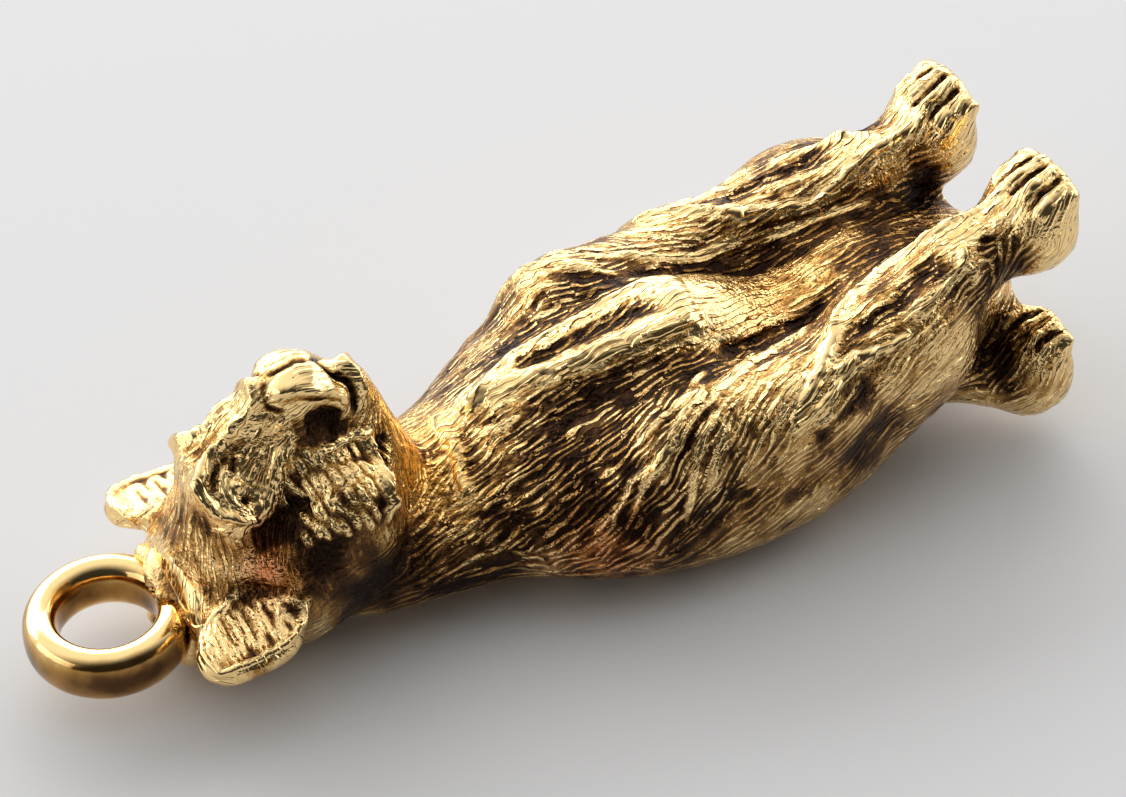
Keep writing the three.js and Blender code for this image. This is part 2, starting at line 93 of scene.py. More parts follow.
class Sides(Enum):
    """Whether a form is only where its places are, or on both sides of the cat."""

    ONE = (1,)
    BOTH = (1, -1)


class Tone(Enum):
    """How the finish differs in a patch: painted shade, a painted highlight, or a copper or amber tone.
    """

    DARK = "dark"
    BRIGHT = "bright"
    COPPER = "copper"
    AMBER = "amber"


def select_none() -> None:
    """Takes every object out of the selection."""
    for other in bpy.context.scene.objects:
        other.select_set(False)


def select_only(obj: Object) -> None:
    """Makes obj the only selected and the active object.

    Args:
        obj: the object to select.
    """
    select_none()
    obj.select_set(True)
    bpy.context.view_layer.objects.active = obj


def fine_copy(node: str, name: str, cell: float) -> Object:
    """Copies a CAD node's solid, rounds its facets and gives it a fine even skin.

    Args:
        node: the CAD node to copy.
        name: the new object's name.
        cell: the skin's cell size in millimetres.

    Returns:
        The new object, its mesh in millimetres.
    """
    obj = bpy.data.objects.new(name, bpy.data.objects[node].data.copy())
    bpy.context.scene.collection.objects.link(obj)
    obj.data.transform(Matrix.Scale(1 / MM, 4))
    select_only(obj)
    bpy.ops.object.mode_set(mode="EDIT")
    bpy.ops.mesh.select_all(action="SELECT")
    bpy.ops.mesh.remove_doubles(threshold=WELD)
    bpy.ops.mesh.normals_make_consistent(inside=False)
    bpy.ops.object.mode_set(mode="OBJECT")
    rounding = obj.modifiers.new("rounding", "SUBSURF")
    rounding.levels = rounding.render_levels = 2
    skin = obj.modifiers.new("skin", "REMESH")
    skin.mode = "VOXEL"
    skin.voxel_size = cell
    for modifier in (rounding.name, skin.name):
        bpy.ops.object.modifier_apply(modifier=modifier)
    return obj


def read(items: bpy_prop_collection, field: str, kind: type = float, width: int = 3) -> Array:
    """Reads one field of a mesh's corners, loops or faces.

    Args:
        items: what to read.
        field: the field's name.
        kind: float or int, as its numbers are.
        width: how many numbers each item has.

    Returns:
        One row, or one number, per item.
    """
    found = np.zeros(len(items) * width, kind)
    items.foreach_get(field, found)
    return found.reshape(-1, width) if width > 1 else found


def unit(vectors: Array) -> Array:
    """Gives vectors the length 1."""
    return vectors / (np.linalg.norm(vectors, axis=1, keepdims=True) + TINY)


def flattened(vectors: Array, out: Array) -> Array:
    """Lays vectors flat in a skin that has the outward directions out."""
    return vectors - (vectors * out).sum(1, keepdims=True) * out


def mirrored(place: Point, side: int) -> Array:
    """Gives a place as it is for side 1, and on the other side of the cat for side -1."""
    return np.array([place[0], place[1] * side, place[2]])


class Skin:
    """A mesh held as arrays in the sitting cat's frame: front, left and up, in millimetres."""

    def __init__(self, obj: Object, soles: float, middle: float) -> None:
        """Reads the mesh of obj.

        Args:
            obj: an object whose mesh is in millimetres in the row frame.
            soles: the row frame's X of the soles, in millimetres.
            middle: the row frame's Y of the cat's middle, in millimetres.
        """
        mesh = obj.data
        self.obj = obj
        self.soles = soles
        self.middle = middle
        row = read(mesh.vertices, "co")
        self.place = np.stack([row[:, 2], row[:, 1] - middle, soles - row[:, 0]], 1)
        mesh.calc_loop_triangles()
        self.tris = read(mesh.loop_triangles, "vertices", int)
        self._join_neighbours(mesh)

    def _join_neighbours(self, mesh: Mesh) -> None:
        """Lists each pair of corners that share a face, so that strokes can run at any angle.

        Args:
            mesh: the mesh that the arrays were read from.
        """
        starts = read(mesh.polygons, "loop_start", int, 1)
        totals = read(mesh.polygons, "loop_total", int, 1)
        corner = read(mesh.loops, "vertex_index", int, 1)
        pairs = []
        for sides in (3, 4):
            first = starts[totals == sides]
            loops = [corner[first + k] for k in range(sides)]
            pairs += [(loops[a], loops[b]) for a in range(sides) for b in range(a + 1, sides)]
        joined = np.sort(np.concatenate([np.stack(p, 1) for p in pairs]), 1)
        joined = np.unique(joined, axis=0)
        self.a = np.concatenate([joined[:, 0], joined[:, 1]])
        self.b = np.concatenate([joined[:, 1], joined[:, 0]])
        self.degree = np.bincount(self.a, minlength=len(self.place)).astype(float)

    def eased(self, values: Array, share: float | Array, weights: Array | None = None) -> Array:
        """Moves values towards the average over each corner's neighbours.

        Args:
            values: one number or vector per corner.
            share: how far they go, the same everywhere or per corner.
            weights: one weight per neighbour pair, or None for even weights.

        Returns:
            The moved values.
        """
        count = len(self.place)
        total = self.degree if weights is None else np.bincount(self.a, weights, count) + SMALL
        sums = [
            np.bincount(self.a, column[self.b] if weights is None else column[self.b] * weights, count)
            for column in values.reshape(count, -1).T
        ]
        average = (np.stack(sums, 1) / total[:, None]).reshape(values.shape)
        return values + share * (average - values)

    def smoothed(self, values: Array, turns: int) -> Array:
        """Blurs values over the skin.

        Args:
            values: one number or vector per corner.
            turns: how many times to blur.

        Returns:
            The blurred values.
        """
        for _ in range(turns):
            values = self.eased(values, BLUR_SHARE)
        return values

    def relax(self, turns: int) -> None:
        """Takes the steps of the cells out of the skin without shrinking it.

        Args:
            turns: how many pairs of passes to make.
        """
        for _ in range(turns):
            for share in RELAX_SHARES:
                self.place = self.eased(self.place, share)

    def face_vectors(self) -> Array:
        """Gives each triangle's outward direction, as long as twice its area."""
        p = self.place[self.tris]
        return np.cross(p[:, 1] - p[:, 0], p[:, 2] - p[:, 0])

    def normals(self) -> Array:
        """Works out which way the skin faces.

        Returns:
            Each corner's outward direction.
        """
        face = self.face_vectors()
        out = np.zeros_like(self.place)
        for k in range(3):
            for axis in range(3):
                out[:, axis] += np.bincount(self.tris[:, k], face[:, axis], len(out))
        return unit(out)

    def near(self, place: Point, side: int, reach: float) -> Array:
        """Gives each corner's nearness to a place on one side: 1 there, falling to 0 past its reach."""
        away = ((self.place - mirrored(place, side)) ** 2).sum(1)
        return np.exp(-away / reach**2)

    def keep(self, name: str, values: Array) -> None:
        """Stores a mask or a direction on the mesh.

        Args:
            name: the attribute's name.
            values: one number, or three, per corner.
        """
        kind, field_name = ("FLOAT", "value") if values.ndim == 1 else ("FLOAT_VECTOR", "vector")
        layer = self.obj.data.attributes.new(name, kind, "POINT")
        layer.data.foreach_set(field_name, values.astype(np.float32).ravel())

    def put_back(self, node: str) -> None:
        """Writes the places to the mesh, in metres in the row frame.

        Args:
            node: the CAD node whose box the mesh stays inside.
        """
        front, side, up = self.place.T
        row = np.stack([self.soles - up, side + self.middle, front], 1) * MM
        low, high = (np.array(corner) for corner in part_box(node))
        row = np.clip(row, low, high)
        self.obj.data.vertices.foreach_set("co", row.astype(np.float32).ravel())
        self.obj.data.update()


@dataclass(frozen=True)
class Lay:
    """How the fur lies around one place: the direction that it runs, and how deeply it is cut."""

    place: Point
    run: Point
    reach: float
    depth: float = 1.0
    sides: Sides = Sides.BOTH


@dataclass(frozen=True)
class Rub:
    """A place that is rubbed smooth before it is carved."""

    place: Point
    reach: float
    turns: int = 20
    sides: Sides = Sides.BOTH


@dataclass(frozen=True)
class Stroke:
    """A ridge, or with a negative height a groove, that runs along a line on the skin."""

    line: tuple[Point, ...]
    width: float
    height: float
    sides: Sides = Sides.BOTH


@dataclass(frozen=True)
class Patch:
    """A place where the finish differs, or where shade or a highlight is painted in."""

    place: Point
    reach: float
    strength: float
    sides: Sides = Sides.BOTH


# Places are (front, left, up) in millimetres, and forms on both sides are given for the cat's right.
FUR = (
    # Face, crown, ears and cheeks
    Lay((6.0, 0.0, 19.2), (0.65, 0.0, -0.75), 0.7, 0.5, Sides.ONE),
    Lay((6.6, -0.4, 17.8), (0.0, 0.0, -1.0), 0.7, 0.12),
    Lay((4.4, 0.0, 20.5), (1.0, 0.0, -0.1), 1.0, 0.5, Sides.ONE),
    Lay((3.2, -0.9, 20.6), (1.0, 0.2, -0.05), 1.1, 0.5),
    Lay((5.0, -1.0, 19.8), (0.6, 0.6, 0.1), 0.5, 0.3),
    Lay((5.0, -1.0, 18.8), (0.6, 0.5, -0.6), 0.6, 0.5),
    Lay((3.9, -1.9, 19.7), (0.5, 0.4, -0.6), 0.7, 0.35),
    Lay((4.3, -1.9, 17.7), (0.55, 0.85, 0.35), 0.9, 0.05),
    Lay((3.0, -2.3, 18.2), (0.3, 0.2, -0.9), 0.9, 0.12),
    Lay((2.0, -2.4, 17.0), (0.3, 0.0, -1.0), 1.0, 0.12),
    Lay((2.4, -2.4, 20.2), (0.1, 1.0, 0.0), 0.8, 0.1),
    # Throat and neck
    Lay((3.6, -0.9, 15.9), (0.6, 0.5, 0.5), 0.8, 0.7),
    Lay((4.8, 0.0, 16.1), (0.9, 0.0, 0.2), 0.7, 0.5, Sides.ONE),
    Lay((3.0, -0.9, 15.1), (0.3, 0.2, -0.9), 0.8, 0.8),
    Lay((2.1, -2.1, 15.1), (0.25, 0.1, -1.0), 1.0, 0.9),
    # Chest and belly
    Lay((3.6, 0.0, 13.6), (0.3, 0.0, -1.0), 1.1, 1.0, Sides.ONE),
    Lay((3.4, -1.8, 13.0), (0.4, 0.0, -0.9), 1.1, 1.0),
    Lay((4.4, -1.6, 11.2), (0.2, 0.0, -1.0), 1.2, 1.0),
    Lay((4.6, -1.2, 9.6), (0.05, 0.0, -1.0), 1.0, 0.9),
    Lay((4.4, 0.0, 7.0), (-0.2, 0.1, -1.0), 1.2, 0.8, Sides.ONE),
    # Upper arm: the strokes sweep forward and meet at the elbow
    Lay((2.0, -3.1, 13.0), (0.5, 0.0, -0.85), 1.0, 1.0),
    Lay((3.4, -3.2, 11.5), (0.75, 0.0, -0.7), 1.0, 1.1),
    Lay((4.4, -2.6, 9.9), (0.25, 0.45, -0.85), 0.9, 1.1),
    Lay((3.0, -3.9, 10.4), (0.85, 0.1, -0.45), 0.9, 1.1),
    Lay((4.0, -3.6, 9.3), (0.6, 0.4, -0.65), 0.8, 1.1),
    # Forearm and paw
    Lay((4.5, -3.0, 7.2), (0.35, 0.4, -0.85), 1.0, 1.1),
    Lay((4.9, -2.2, 5.0), (0.2, 0.15, -1.0), 1.0, 1.0),
    Lay((5.6, -2.0, 2.6), (0.5, 0.0, -0.85), 0.9, 0.9),
    Lay((6.6, -1.9, 1.1), (0.9, 0.0, -0.5), 0.8, 0.4),
    Lay((5.0, -3.0, 0.9), (0.9, 0.0, -0.3), 0.8, 0.5),
    Lay((4.2, 0.0, 3.4), (0.1, 0.0, -1.0), 1.5, 0.5, Sides.ONE),
    # Flank, haunch and hind paw
    Lay((1.4, -4.1, 9.0), (0.35, 0.0, -0.9), 1.6, 0.45),
    Lay((2.6, -4.0, 7.0), (0.6, 0.0, -0.8), 1.3, 0.35),
    Lay((3.6, -3.8, 5.4), (0.55, 0.1, -0.8), 1.2, 0.6),
    Lay((1.8, -2.6, 2.6), (0.1, 0.0, -1.0), 1.0, 0.7),
    Lay((2.4, -3.0, 0.8), (0.9, 0.0, -0.3), 0.9, 0.7),
    # Back and nape
    Lay((0.3, 0.0, 15.5), (0.0, 0.0, -1.0), 2.4, 0.6, Sides.ONE),
    Lay((0.1, 0.0, 9.0), (0.0, 0.0, -1.0), 3.4, 0.5, Sides.ONE),
    Lay((0.3, 0.0, 3.0), (0.0, 0.2, -1.0), 2.4, 0.6, Sides.ONE),
)
FACE = (
    # Brow, eye socket, eyelids and eye
    Stroke(((4.21, -1.39, 19.41), (4.59, -1.57, 19.97), (4.68, -1.28, 20.28), (5.1, -0.85, 20.39),
            (5.26, -0.52, 20.14), (5.37, -0.3, 19.84), (5.87, -0.28, 19.27), (6.13, -0.31, 19.05)),
            0.13, 0.24),
    Stroke(((4.36, -1.42, 19.5), (4.72, -1.45, 19.98), (4.98, -1.00, 20.14), (5.2, -0.6, 19.9),
            (5.4, -0.4, 19.5)), 0.09, -0.06),
    Stroke(((4.55, -1.42, 19.5), (4.8, -1.35, 19.78), (4.98, -1.08, 19.9), (5.16, -0.8, 19.82),
            (5.3, -0.6, 19.6)), 0.06, 0.1),
    Stroke(((4.66, -1.38, 19.42), (4.8, -1.25, 19.56)), 0.12, -0.13),
    Stroke(((5.2, -0.75, 19.62), (5.34, -0.58, 19.5)), 0.12, -0.13),
    Stroke(((4.92, -1.12, 19.62), (5.06, -0.96, 19.64)), 0.13, 0.12),
    # Cheekbone, a broad bright plane below the eye, and the hollow of the temple
    Stroke(((4.25, -1.4, 19.35), (4.6, -1.15, 19.00), (5.00, -0.92, 18.7), (5.45, -0.75, 18.35)),
            0.22, 0.22),
    Stroke(((5.5, -0.5, 19.45), (5.62, -0.52, 19.15)), 0.09, -0.08),
    Stroke(((3.9, -1.75, 19.6), (3.95, -1.5, 18.9), (4.3, -1.25, 18.3)), 0.3, -0.18),
    # Nose, nostril and whisker pad
    Stroke(((6.18, -0.36, 18.92), (6.5, -0.3, 18.86), (6.74, 0.0, 18.82)), 0.12, 0.12),
    Stroke(((6.7, -0.16, 18.52), (6.46, -0.34, 18.66), (6.2, -0.44, 18.58), (6.08, -0.56, 18.3)),
            0.07, -0.08),
    Stroke(((5.78, -0.52, 18.44), (5.9, -0.52, 18.3)), 0.15, 0.16),
    Stroke(((6.42, -0.4, 18.5), (6.6, -0.6, 18.2), (6.52, -0.78, 17.8), (6.29, -0.67, 17.31),
            (5.95, -0.55, 16.98), (5.6, -0.64, 16.98)), 0.19, 0.2),
    Stroke(((6.86, 0.0, 18.45), (7.05, 0.0, 17.9), (6.95, 0.0, 17.35)), 0.12, -0.12, Sides.ONE),
    # Mouth and chin
    Stroke(((6.9, 0.0, 17.18), (6.55, -0.4, 17.00), (6.1, -0.5, 16.74), (5.6, -0.62, 16.72)),
            0.1, -0.13),
    Stroke(((6.42, -0.3, 16.92), (6.3, -0.36, 16.86)), 0.14, -0.12),
    Stroke(((5.7, -0.5, 16.46), (6.2, -0.34, 16.52), (6.55, 0.0, 16.66)), 0.13, 0.15),
    # Hollow behind the muzzle
    Stroke(((5.56, -0.78, 17.95), (5.62, -0.8, 17.6), (5.45, -0.7, 17.15)), 0.3, -0.18),
    # Ruff along the jaw, with its front end turned up
    Stroke(((3.8, -2.1, 16.7), (4.25, -1.75, 16.74), (4.55, -1.2, 16.66), (4.91, -0.8, 16.55)),
            0.12, 0.26),
    Stroke(((5.05, -1.02, 17.72), (5.08, -0.86, 17.11), (4.99, -0.8, 16.56)), 0.09, 0.16),
    Stroke(((3.7, -1.9, 16.36), (4.2, -1.45, 16.34), (4.8, -0.8, 16.14)), 0.2, -0.16),
    # Ear rim
    Stroke(((2.57, -2.45, 18.85), (2.36, -2.8, 19.15), (2.26, -3.06, 19.6), (2.2, -3.14, 20.4),
            (2.05, -3.06, 21.1), (2.17, -2.6, 21.22), (2.17, -2.00, 21.02), (2.5, -1.76, 20.55),
            (2.7, -1.64, 20.00)), 0.07, 0.12),
)
BODY = (
    # Edge of the throat, and the two ridges down the chest with a furrow between them
    Stroke(((2.75, -1.56, 14.67), (3.08, -0.97, 14.62), (3.3, -0.5, 14.45), (3.37, 0.0, 14.41),
            (3.35, 0.51, 14.34)), 0.16, 0.16, Sides.ONE),
    Stroke(((3.37, 0.45, 14.31), (3.62, 0.26, 13.82), (3.9, 0.14, 13.2), (4.15, 0.02, 12.6),
            (4.35, -0.28, 11.96), (4.6, -0.5, 11.03), (4.8, -0.65, 10.1), (4.88, -0.77, 9.34),
            (4.87, -0.86, 8.84)), 0.33, 0.27, Sides.ONE),
    Stroke(((3.75, 0.2, 13.56), (3.93, 0.54, 13.01), (4.12, 0.8, 12.37), (4.36, 0.74, 11.62),
            (4.6, 0.66, 10.9), (4.79, 0.67, 10.09), (4.94, 0.69, 9.29), (4.95, 0.62, 8.6)),
            0.2, 0.2, Sides.ONE),
    Stroke(((4.1, 0.42, 12.6), (4.49, 0.25, 11.58), (4.71, 0.1, 10.86), (4.97, -0.05, 9.97),
            (5.15, -0.08, 9.1)), 0.3, -0.12, Sides.ONE),
    Stroke(((4.88, -0.86, 8.9), (5.1, -0.3, 8.8), (4.95, 0.66, 8.6)), 0.25, 0.1, Sides.ONE),
    Stroke(((3.53, -0.37, 13.97), (3.69, -0.69, 13.49), (3.92, -0.73, 12.95)), 0.08, 0.1),
    # Flat of the chest beside the ridges, and the hollow before the arm
    Stroke(((3.9, -1.3, 12.7), (4.4, -1.5, 11.2), (4.6, -1.7, 9.8)), 0.55, -0.14),
    # Upper arm
    Stroke(((2.41, -3.3, 12.53), (2.79, -3.3, 12.02), (3.32, -3.18, 11.62), (3.75, -3.37, 11.19),
            (4.19, -3.3, 10.79), (4.49, -2.85, 10.12), (4.52, -2.37, 9.46)), 0.08, 0.11),
    Stroke(((2.68, -3.47, 11.84), (3.26, -3.39, 11.47), (3.72, -3.48, 11.12), (4.16, -3.41, 10.62),
            (4.45, -3.07, 9.98), (4.5, -2.81, 9.4), (4.52, -2.47, 8.98)), 0.08, 0.11),
    Stroke(((2.47, -3.97, 10.73), (3.09, -3.92, 10.58), (3.71, -3.76, 10.4), (4.19, -3.47, 10.04),
            (4.42, -3.14, 9.65)), 0.08, 0.1),
    Stroke(((3.11, -3.97, 10.14), (3.73, -3.81, 9.92), (4.19, -3.49, 9.54)), 0.08, 0.09),
    Stroke(((4.11, -2.81, 11.21), (4.42, -2.83, 10.7), (4.56, -2.53, 9.93), (4.48, -1.9, 9.09)),
            0.07, 0.09),
    Stroke(((2.9, -3.7, 11.2), (3.7, -3.6, 10.75), (4.3, -3.3, 10.2), (4.5, -2.7, 9.2)), 0.1, -0.08),
    # Side of the belly pouch
    Stroke(((4.6, -1.7, 8.6), (4.3, -1.35, 7.2), (4.3, -0.95, 5.6), (4.4, -0.7, 5.00)),
            0.16, -0.16),
    # Forearm: its front edge, a tendon on each side, and the hollows between
    Stroke(((4.53, -2.53, 9.00), (4.45, -2.1, 8.11), (4.35, -1.75, 7.1), (4.55, -1.55, 6.2)),
            0.12, 0.13),
    Stroke(((3.82, -3.87, 7.91), (4.29, -3.55, 7.59), (4.55, -3.18, 6.96), (4.75, -2.7, 6.4),
            (4.88, -2.1, 5.9), (4.94, -1.75, 5.15), (5.02, -1.4, 4.3), (5.4, -1.45, 3.51),
            (5.77, -1.57, 2.86), (6.2, -1.5, 2.1), (6.6, -1.4, 1.5)), 0.17, 0.17),
    Stroke(((4.46, -3.36, 6.89), (4.61, -3.23, 6.15), (4.66, -3.36, 5.48), (4.8, -3.32, 4.76)),
            0.12, 0.12),
    Stroke(((5.05, -3.04, 4.42), (5.19, -2.83, 3.73), (5.43, -2.61, 3.07), (5.75, -2.26, 2.76)),
            0.12, 0.13),
    Stroke(((4.9, -2.74, 6.00), (5.07, -2.75, 5.1), (5.25, -2.5, 4.3), (5.5, -2.2, 3.5)),
            0.2, -0.14),
    Stroke(((5.16, -2.85, 2.74), (5.45, -2.64, 2.9), (5.76, -2.27, 2.8)), 0.13, 0.12),
    Stroke(((5.6, -2.8, 2.3), (6.00, -2.4, 2.1)), 0.22, -0.12),
    # Loose skin from the elbow to the haunch
    Stroke(((3.82, -3.87, 7.91), (4.11, -3.79, 7.36), (4.36, -3.59, 6.73), (4.51, -3.4, 6.07)),
            0.1, 0.1),
    Stroke(((3.3, -4.0, 7.6), (3.8, -3.85, 6.7), (4.1, -3.6, 5.8)), 0.35, -0.08),
    # Inner edge of the foreleg, where it meets the web
    Stroke(((4.33, -1.5, 5.75), (4.7, -1.22, 4.41), (4.9, -0.95, 3.06)), 0.1, 0.09),
)

def toes(paw: Point, width: float, size: float, sides: Sides) -> tuple[Stroke, ...]:
    """Parts a paw into four toes.

    Args:
        paw: the paw's front end, at the middle of its width.
        width: the paw's width.
        size: the length of a toe.
        sides: which paws.

    Returns:
        The grooves between the toes and the ridges over them.
    """
    front, middle, top = paw
    # Lengths, widths and heights are shares of a toe's length, and levels of the paw's own height
    pitch = width / 4.3
    strokes = []
    for place in (-1.0, 0.0, 1.0):
        side = middle + place * pitch
        crown = (front - size * 1.5, side, top * 1.25)
        line = (crown, (front - size * 0.7, side, top), (front + 0.05, side, top * 0.35))
        strokes.append(Stroke(line, size * 0.15, -size * 0.24, sides))
    for place in (-1.5, -0.5, 0.5, 1.5):
        side = middle + place * pitch
        end = front - (0.4 * size if abs(place) > 1 else 0.0)
        line = ((end - size * 1.2, side, top * 1.2), (end - size * 0.4, side, top * 0.9))
        strokes.append(Stroke(line, size * 0.25, size * 0.16, sides))
        tip = ((end, side, top * 0.65), (end, side, top * 0.5))
        strokes.append(Stroke(tip, size * 0.27, size * 0.12, sides))
    return tuple(strokes)


def ear_folds() -> tuple[Stroke, ...]:
    """Makes the small folds across the inside of an ear.

    Returns:
        Their strokes.
    """
    folds = []
    for step in range(8):
        up = 19.05 + 0.235 * step
        bend = 0.05 * (-1) ** step
        outer = ((2.3, -2.95, up + bend), (2.3, -2.6, up + 0.04))
        inner = ((2.4, -2.25, up - bend), (2.5, -1.9, up + 0.05))
        folds.append(Stroke(outer + inner, 0.065, 0.09))
    return tuple(folds)


def cheek_dashes() -> tuple[Stroke, ...]:
    """Makes the short rows of fur over a cheek, which rise towards the nose.

    Returns:
        Their strokes.
    """
    dashes = []
    for row in range(10):
        up = 18.55 - 0.22 * row
        for column in range(4):
            front = 3.75 + 0.36 * column + 0.12 * (row % 2)
            out = -2.2 + 0.33 * column
            start = (front, out, up + 0.05 * column + 0.05 * (-1) ** column)
            end = (front + 0.26, out + 0.22, start[2] + 0.08)
            dashes.append(Stroke((start, end), 0.055, 0.12))
    return tuple(dashes)


def cheekbone_grain() -> tuple[Stroke, ...]:
    """Makes the short crossed marks on the bright plane between the eye and the cheekbone.

    Returns:
        Their strokes.
    """
    marks = []
    for row in range(5):
        for column in range(5):
            front = 4.5 + 0.16 * column + 0.09 * row
            out = -1.3 + 0.11 * column + 0.03 * row
            up = 19.38 - 0.09 * column - 0.2 * row
            end = (front + 0.1, out + 0.03, up + 0.07 * (-1) ** (row + column))
            marks.append(Stroke(((front, out, up), end), 0.05, 0.085))
    return tuple(marks)


def solder_seat() -> tuple[Stroke, ...]:
    """Makes the metal that flowed out over the crown around the foot of the ring.

    Returns:
        Its strokes.
    """
    rims = []
    for reach, width, height in ((1.0, 0.26, 0.3), (1.3, 0.2, 0.14)):
        turns = [math.radians(15 * k) for k in range(-9, 10)]
        line = [(1.4 + 1.05 * reach * math.cos(t), 1.25 * reach * math.sin(t), 20.75) for t in turns]
        rims.append(Stroke(tuple(line), width, height, Sides.ONE))
    return tuple(rims)


CARVING = (
    FACE
    + cheekbone_grain()
    + solder_seat()
    + cheek_dashes()
    + BODY
    + ear_folds()
    + toes((7.15, -1.87, 1.0), 2.5, 0.62, Sides.ONE)
    + toes((7.15, 2.03, 1.0), 2.5, 0.62, Sides.ONE)
    + toes((3.35, -2.7, 0.9), 1.8, 0.5, Sides.BOTH)
)

RUBS = (
    Rub((4.1, -1.7, 19.8), 0.5, 40),
    Rub((5.1, -0.95, 19.7), 0.5, 110),
    Rub((5.0, -0.95, 19.0), 0.6, 60),
    Rub((6.5, -0.5, 17.8), 0.8, 120),
    Rub((5.8, -0.7, 17.6), 0.5, 70),
    Rub((6.5, 0.0, 16.7), 0.5, 40, Sides.ONE),
    Rub((6.7, 0.0, 18.9), 0.4, 20, Sides.ONE),
    Rub((4.3, -1.5, 20.2), 0.4, 60),
    Rub((4.8, 1.1, 20.3), 0.5, 160, Sides.ONE),
    Rub((5.0, -0.8, 16.4), 0.6, 14),
    Rub((2.3, -2.5, 19.9), 0.6, 90),
    Rub((4.0, 0.0, 2.6), 1.2, 20, Sides.ONE),
    Rub((6.9, -1.9, 0.7), 1.0, 60),
    Rub((3.3, -2.7, 0.6), 0.9, 60),
)
# Copper and amber tones, and patches of painted shade and painted highlight
TONES_AND_PAINTED_LIGHT = {
    Tone.DARK: (
        # Painted shade: these patches darken the finish where shade falls on the cat
        Patch((2.3, -2.5, 17.1), 1.3, 1.0),
        Patch((4.2, -1.8, 17.6), 0.9, 0.45),
        Patch((4.0, -2.0, 16.9), 0.6, 0.5),
        Patch((3.6, 0.0, 20.8), 1.2, 0.3, Sides.ONE),
        Patch((3.3, -2.2, 18.5), 0.7, 0.7),
        Patch((5.5, -0.7, 17.5), 0.5, 0.8),
        Patch((1.9, -3.4, 20.3), 0.6, 0.8),
        Patch((1.7, -2.6, 15.4), 1.3, 0.8, Sides.ONE),
        Patch((3.2, -2.4, 12.8), 1.3, 0.65, Sides.ONE),
        Patch((4.3, -1.9, 11.0), 1.0, 0.45, Sides.ONE),
        Patch((2.2, -3.8, 11.4), 1.6, 0.5),
        Patch((1.4, -3.9, 9.0), 2.2, 0.3),
        Patch((2.1, -3.8, 5.6), 1.4, 0.35),
        Patch((4.2, 0.0, 3.2), 1.4, 0.5, Sides.ONE),
        Patch((5.1, -2.9, 3.4), 0.5, 0.5),
        Patch((4.9, -2.9, 2.4), 0.7, 0.6),
        Patch((5.3, -2.8, 1.5), 0.6, 0.5),
        Patch((4.9, 1.0, 1.2), 0.8, 0.6, Sides.ONE),
        Patch((2.0, -3.3, 1.4), 1.0, 0.5),
    ),
    Tone.BRIGHT: (
        # Painted highlights: these patches lighten the finish where highlights fall on the cat
        Patch((4.95, -1.0, 19.0), 0.7, 1.0),
        Patch((4.9, -1.1, 20.25), 0.5, 0.8),
        Patch((5.9, -0.5, 19.2), 0.5, 0.5),
        Patch((6.4, -0.7, 17.7), 0.7, 0.6),
        Patch((4.2, -0.5, 15.9), 0.9, 0.4),
        Patch((3.0, -1.2, 15.6), 1.0, 0.9),
        Patch((4.6, -0.5, 10.8), 0.7, 0.6, Sides.ONE),
        Patch((4.0, 0.1, 13.0), 0.6, 0.5, Sides.ONE),
        Patch((4.7, -0.3, 8.6), 1.3, 0.6, Sides.ONE),
        Patch((4.1, 0.1, 6.3), 1.1, 0.5, Sides.ONE),
        Patch((4.4, 1.6, 12.0), 1.4, 0.3, Sides.ONE),
        Patch((4.3, -3.4, 7.4), 0.9, 0.6),
        Patch((5.7, -2.1, 2.8), 0.5, 0.4),
        Patch((6.6, -1.9, 1.4), 0.9, 0.5),
    ),
    Tone.COPPER: (
        Patch((1.8, -3.4, 12.4), 1.1, 0.8),
        Patch((3.2, -1.9, 19.4), 0.6, 1.0),
        Patch((4.0, -1.6, 19.3), 0.4, 0.8),
    ),
    Tone.AMBER: (
        Patch((3.4, -0.9, 15.6), 1.3, 0.8),
        Patch((4.5, 0.0, 6.2), 1.3, 0.6, Sides.ONE),
    ),
}

def tree_of(places: Array) -> KDTree:
    """Sorts places for finding the nearest.

    Args:
        places: the places.

    Returns:
        The tree, which gives each place's number.
    """
    tree = KDTree(len(places))
    for number, place in enumerate(places):
        tree.insert(place, number)
    tree.balance()
    return tree


def spaced(line: Array, step: float) -> Array:
    """Adds points to a line until they lie about a step apart.

    Args:
        line: the line's points.
        step: the wanted distance.

    Returns:
        The points.
    """
    pieces = []
    for start, end in zip(line[:-1], line[1:]):
        count = max(int(np.linalg.norm(end - start) / step), 1)
        pieces += [start + (end - start) * k / count for k in range(count)]
    return np.array([*pieces, line[-1]])


def distance_to(place: Array, line: Array) -> tuple[Array, Array]:
    """Measures from places to a line of straight pieces.

    Args:
        place: the places.
        line: the line's points.

    Returns:
        Each place's distance, and how far along the line its nearest point is, from 0 to 1.
    """
    best, along = np.full(len(place), np.inf), np.zeros(len(place))
    lengths = np.linalg.norm(np.diff(line, axis=0), axis=1)
    begun = 0.0
    for start, end, length in zip(line[:-1], line[1:], lengths):
        share = np.clip(((place - start) @ (end - start)) / (length**2 + TINY), 0, 1)
        away = np.linalg.norm(place - start - share[:, None] * (end - start), axis=1)
        along = np.where(away < best, (begun + share * length) / lengths.sum(), along)
        best = np.minimum(away, best)
        begun += length
    return best, along


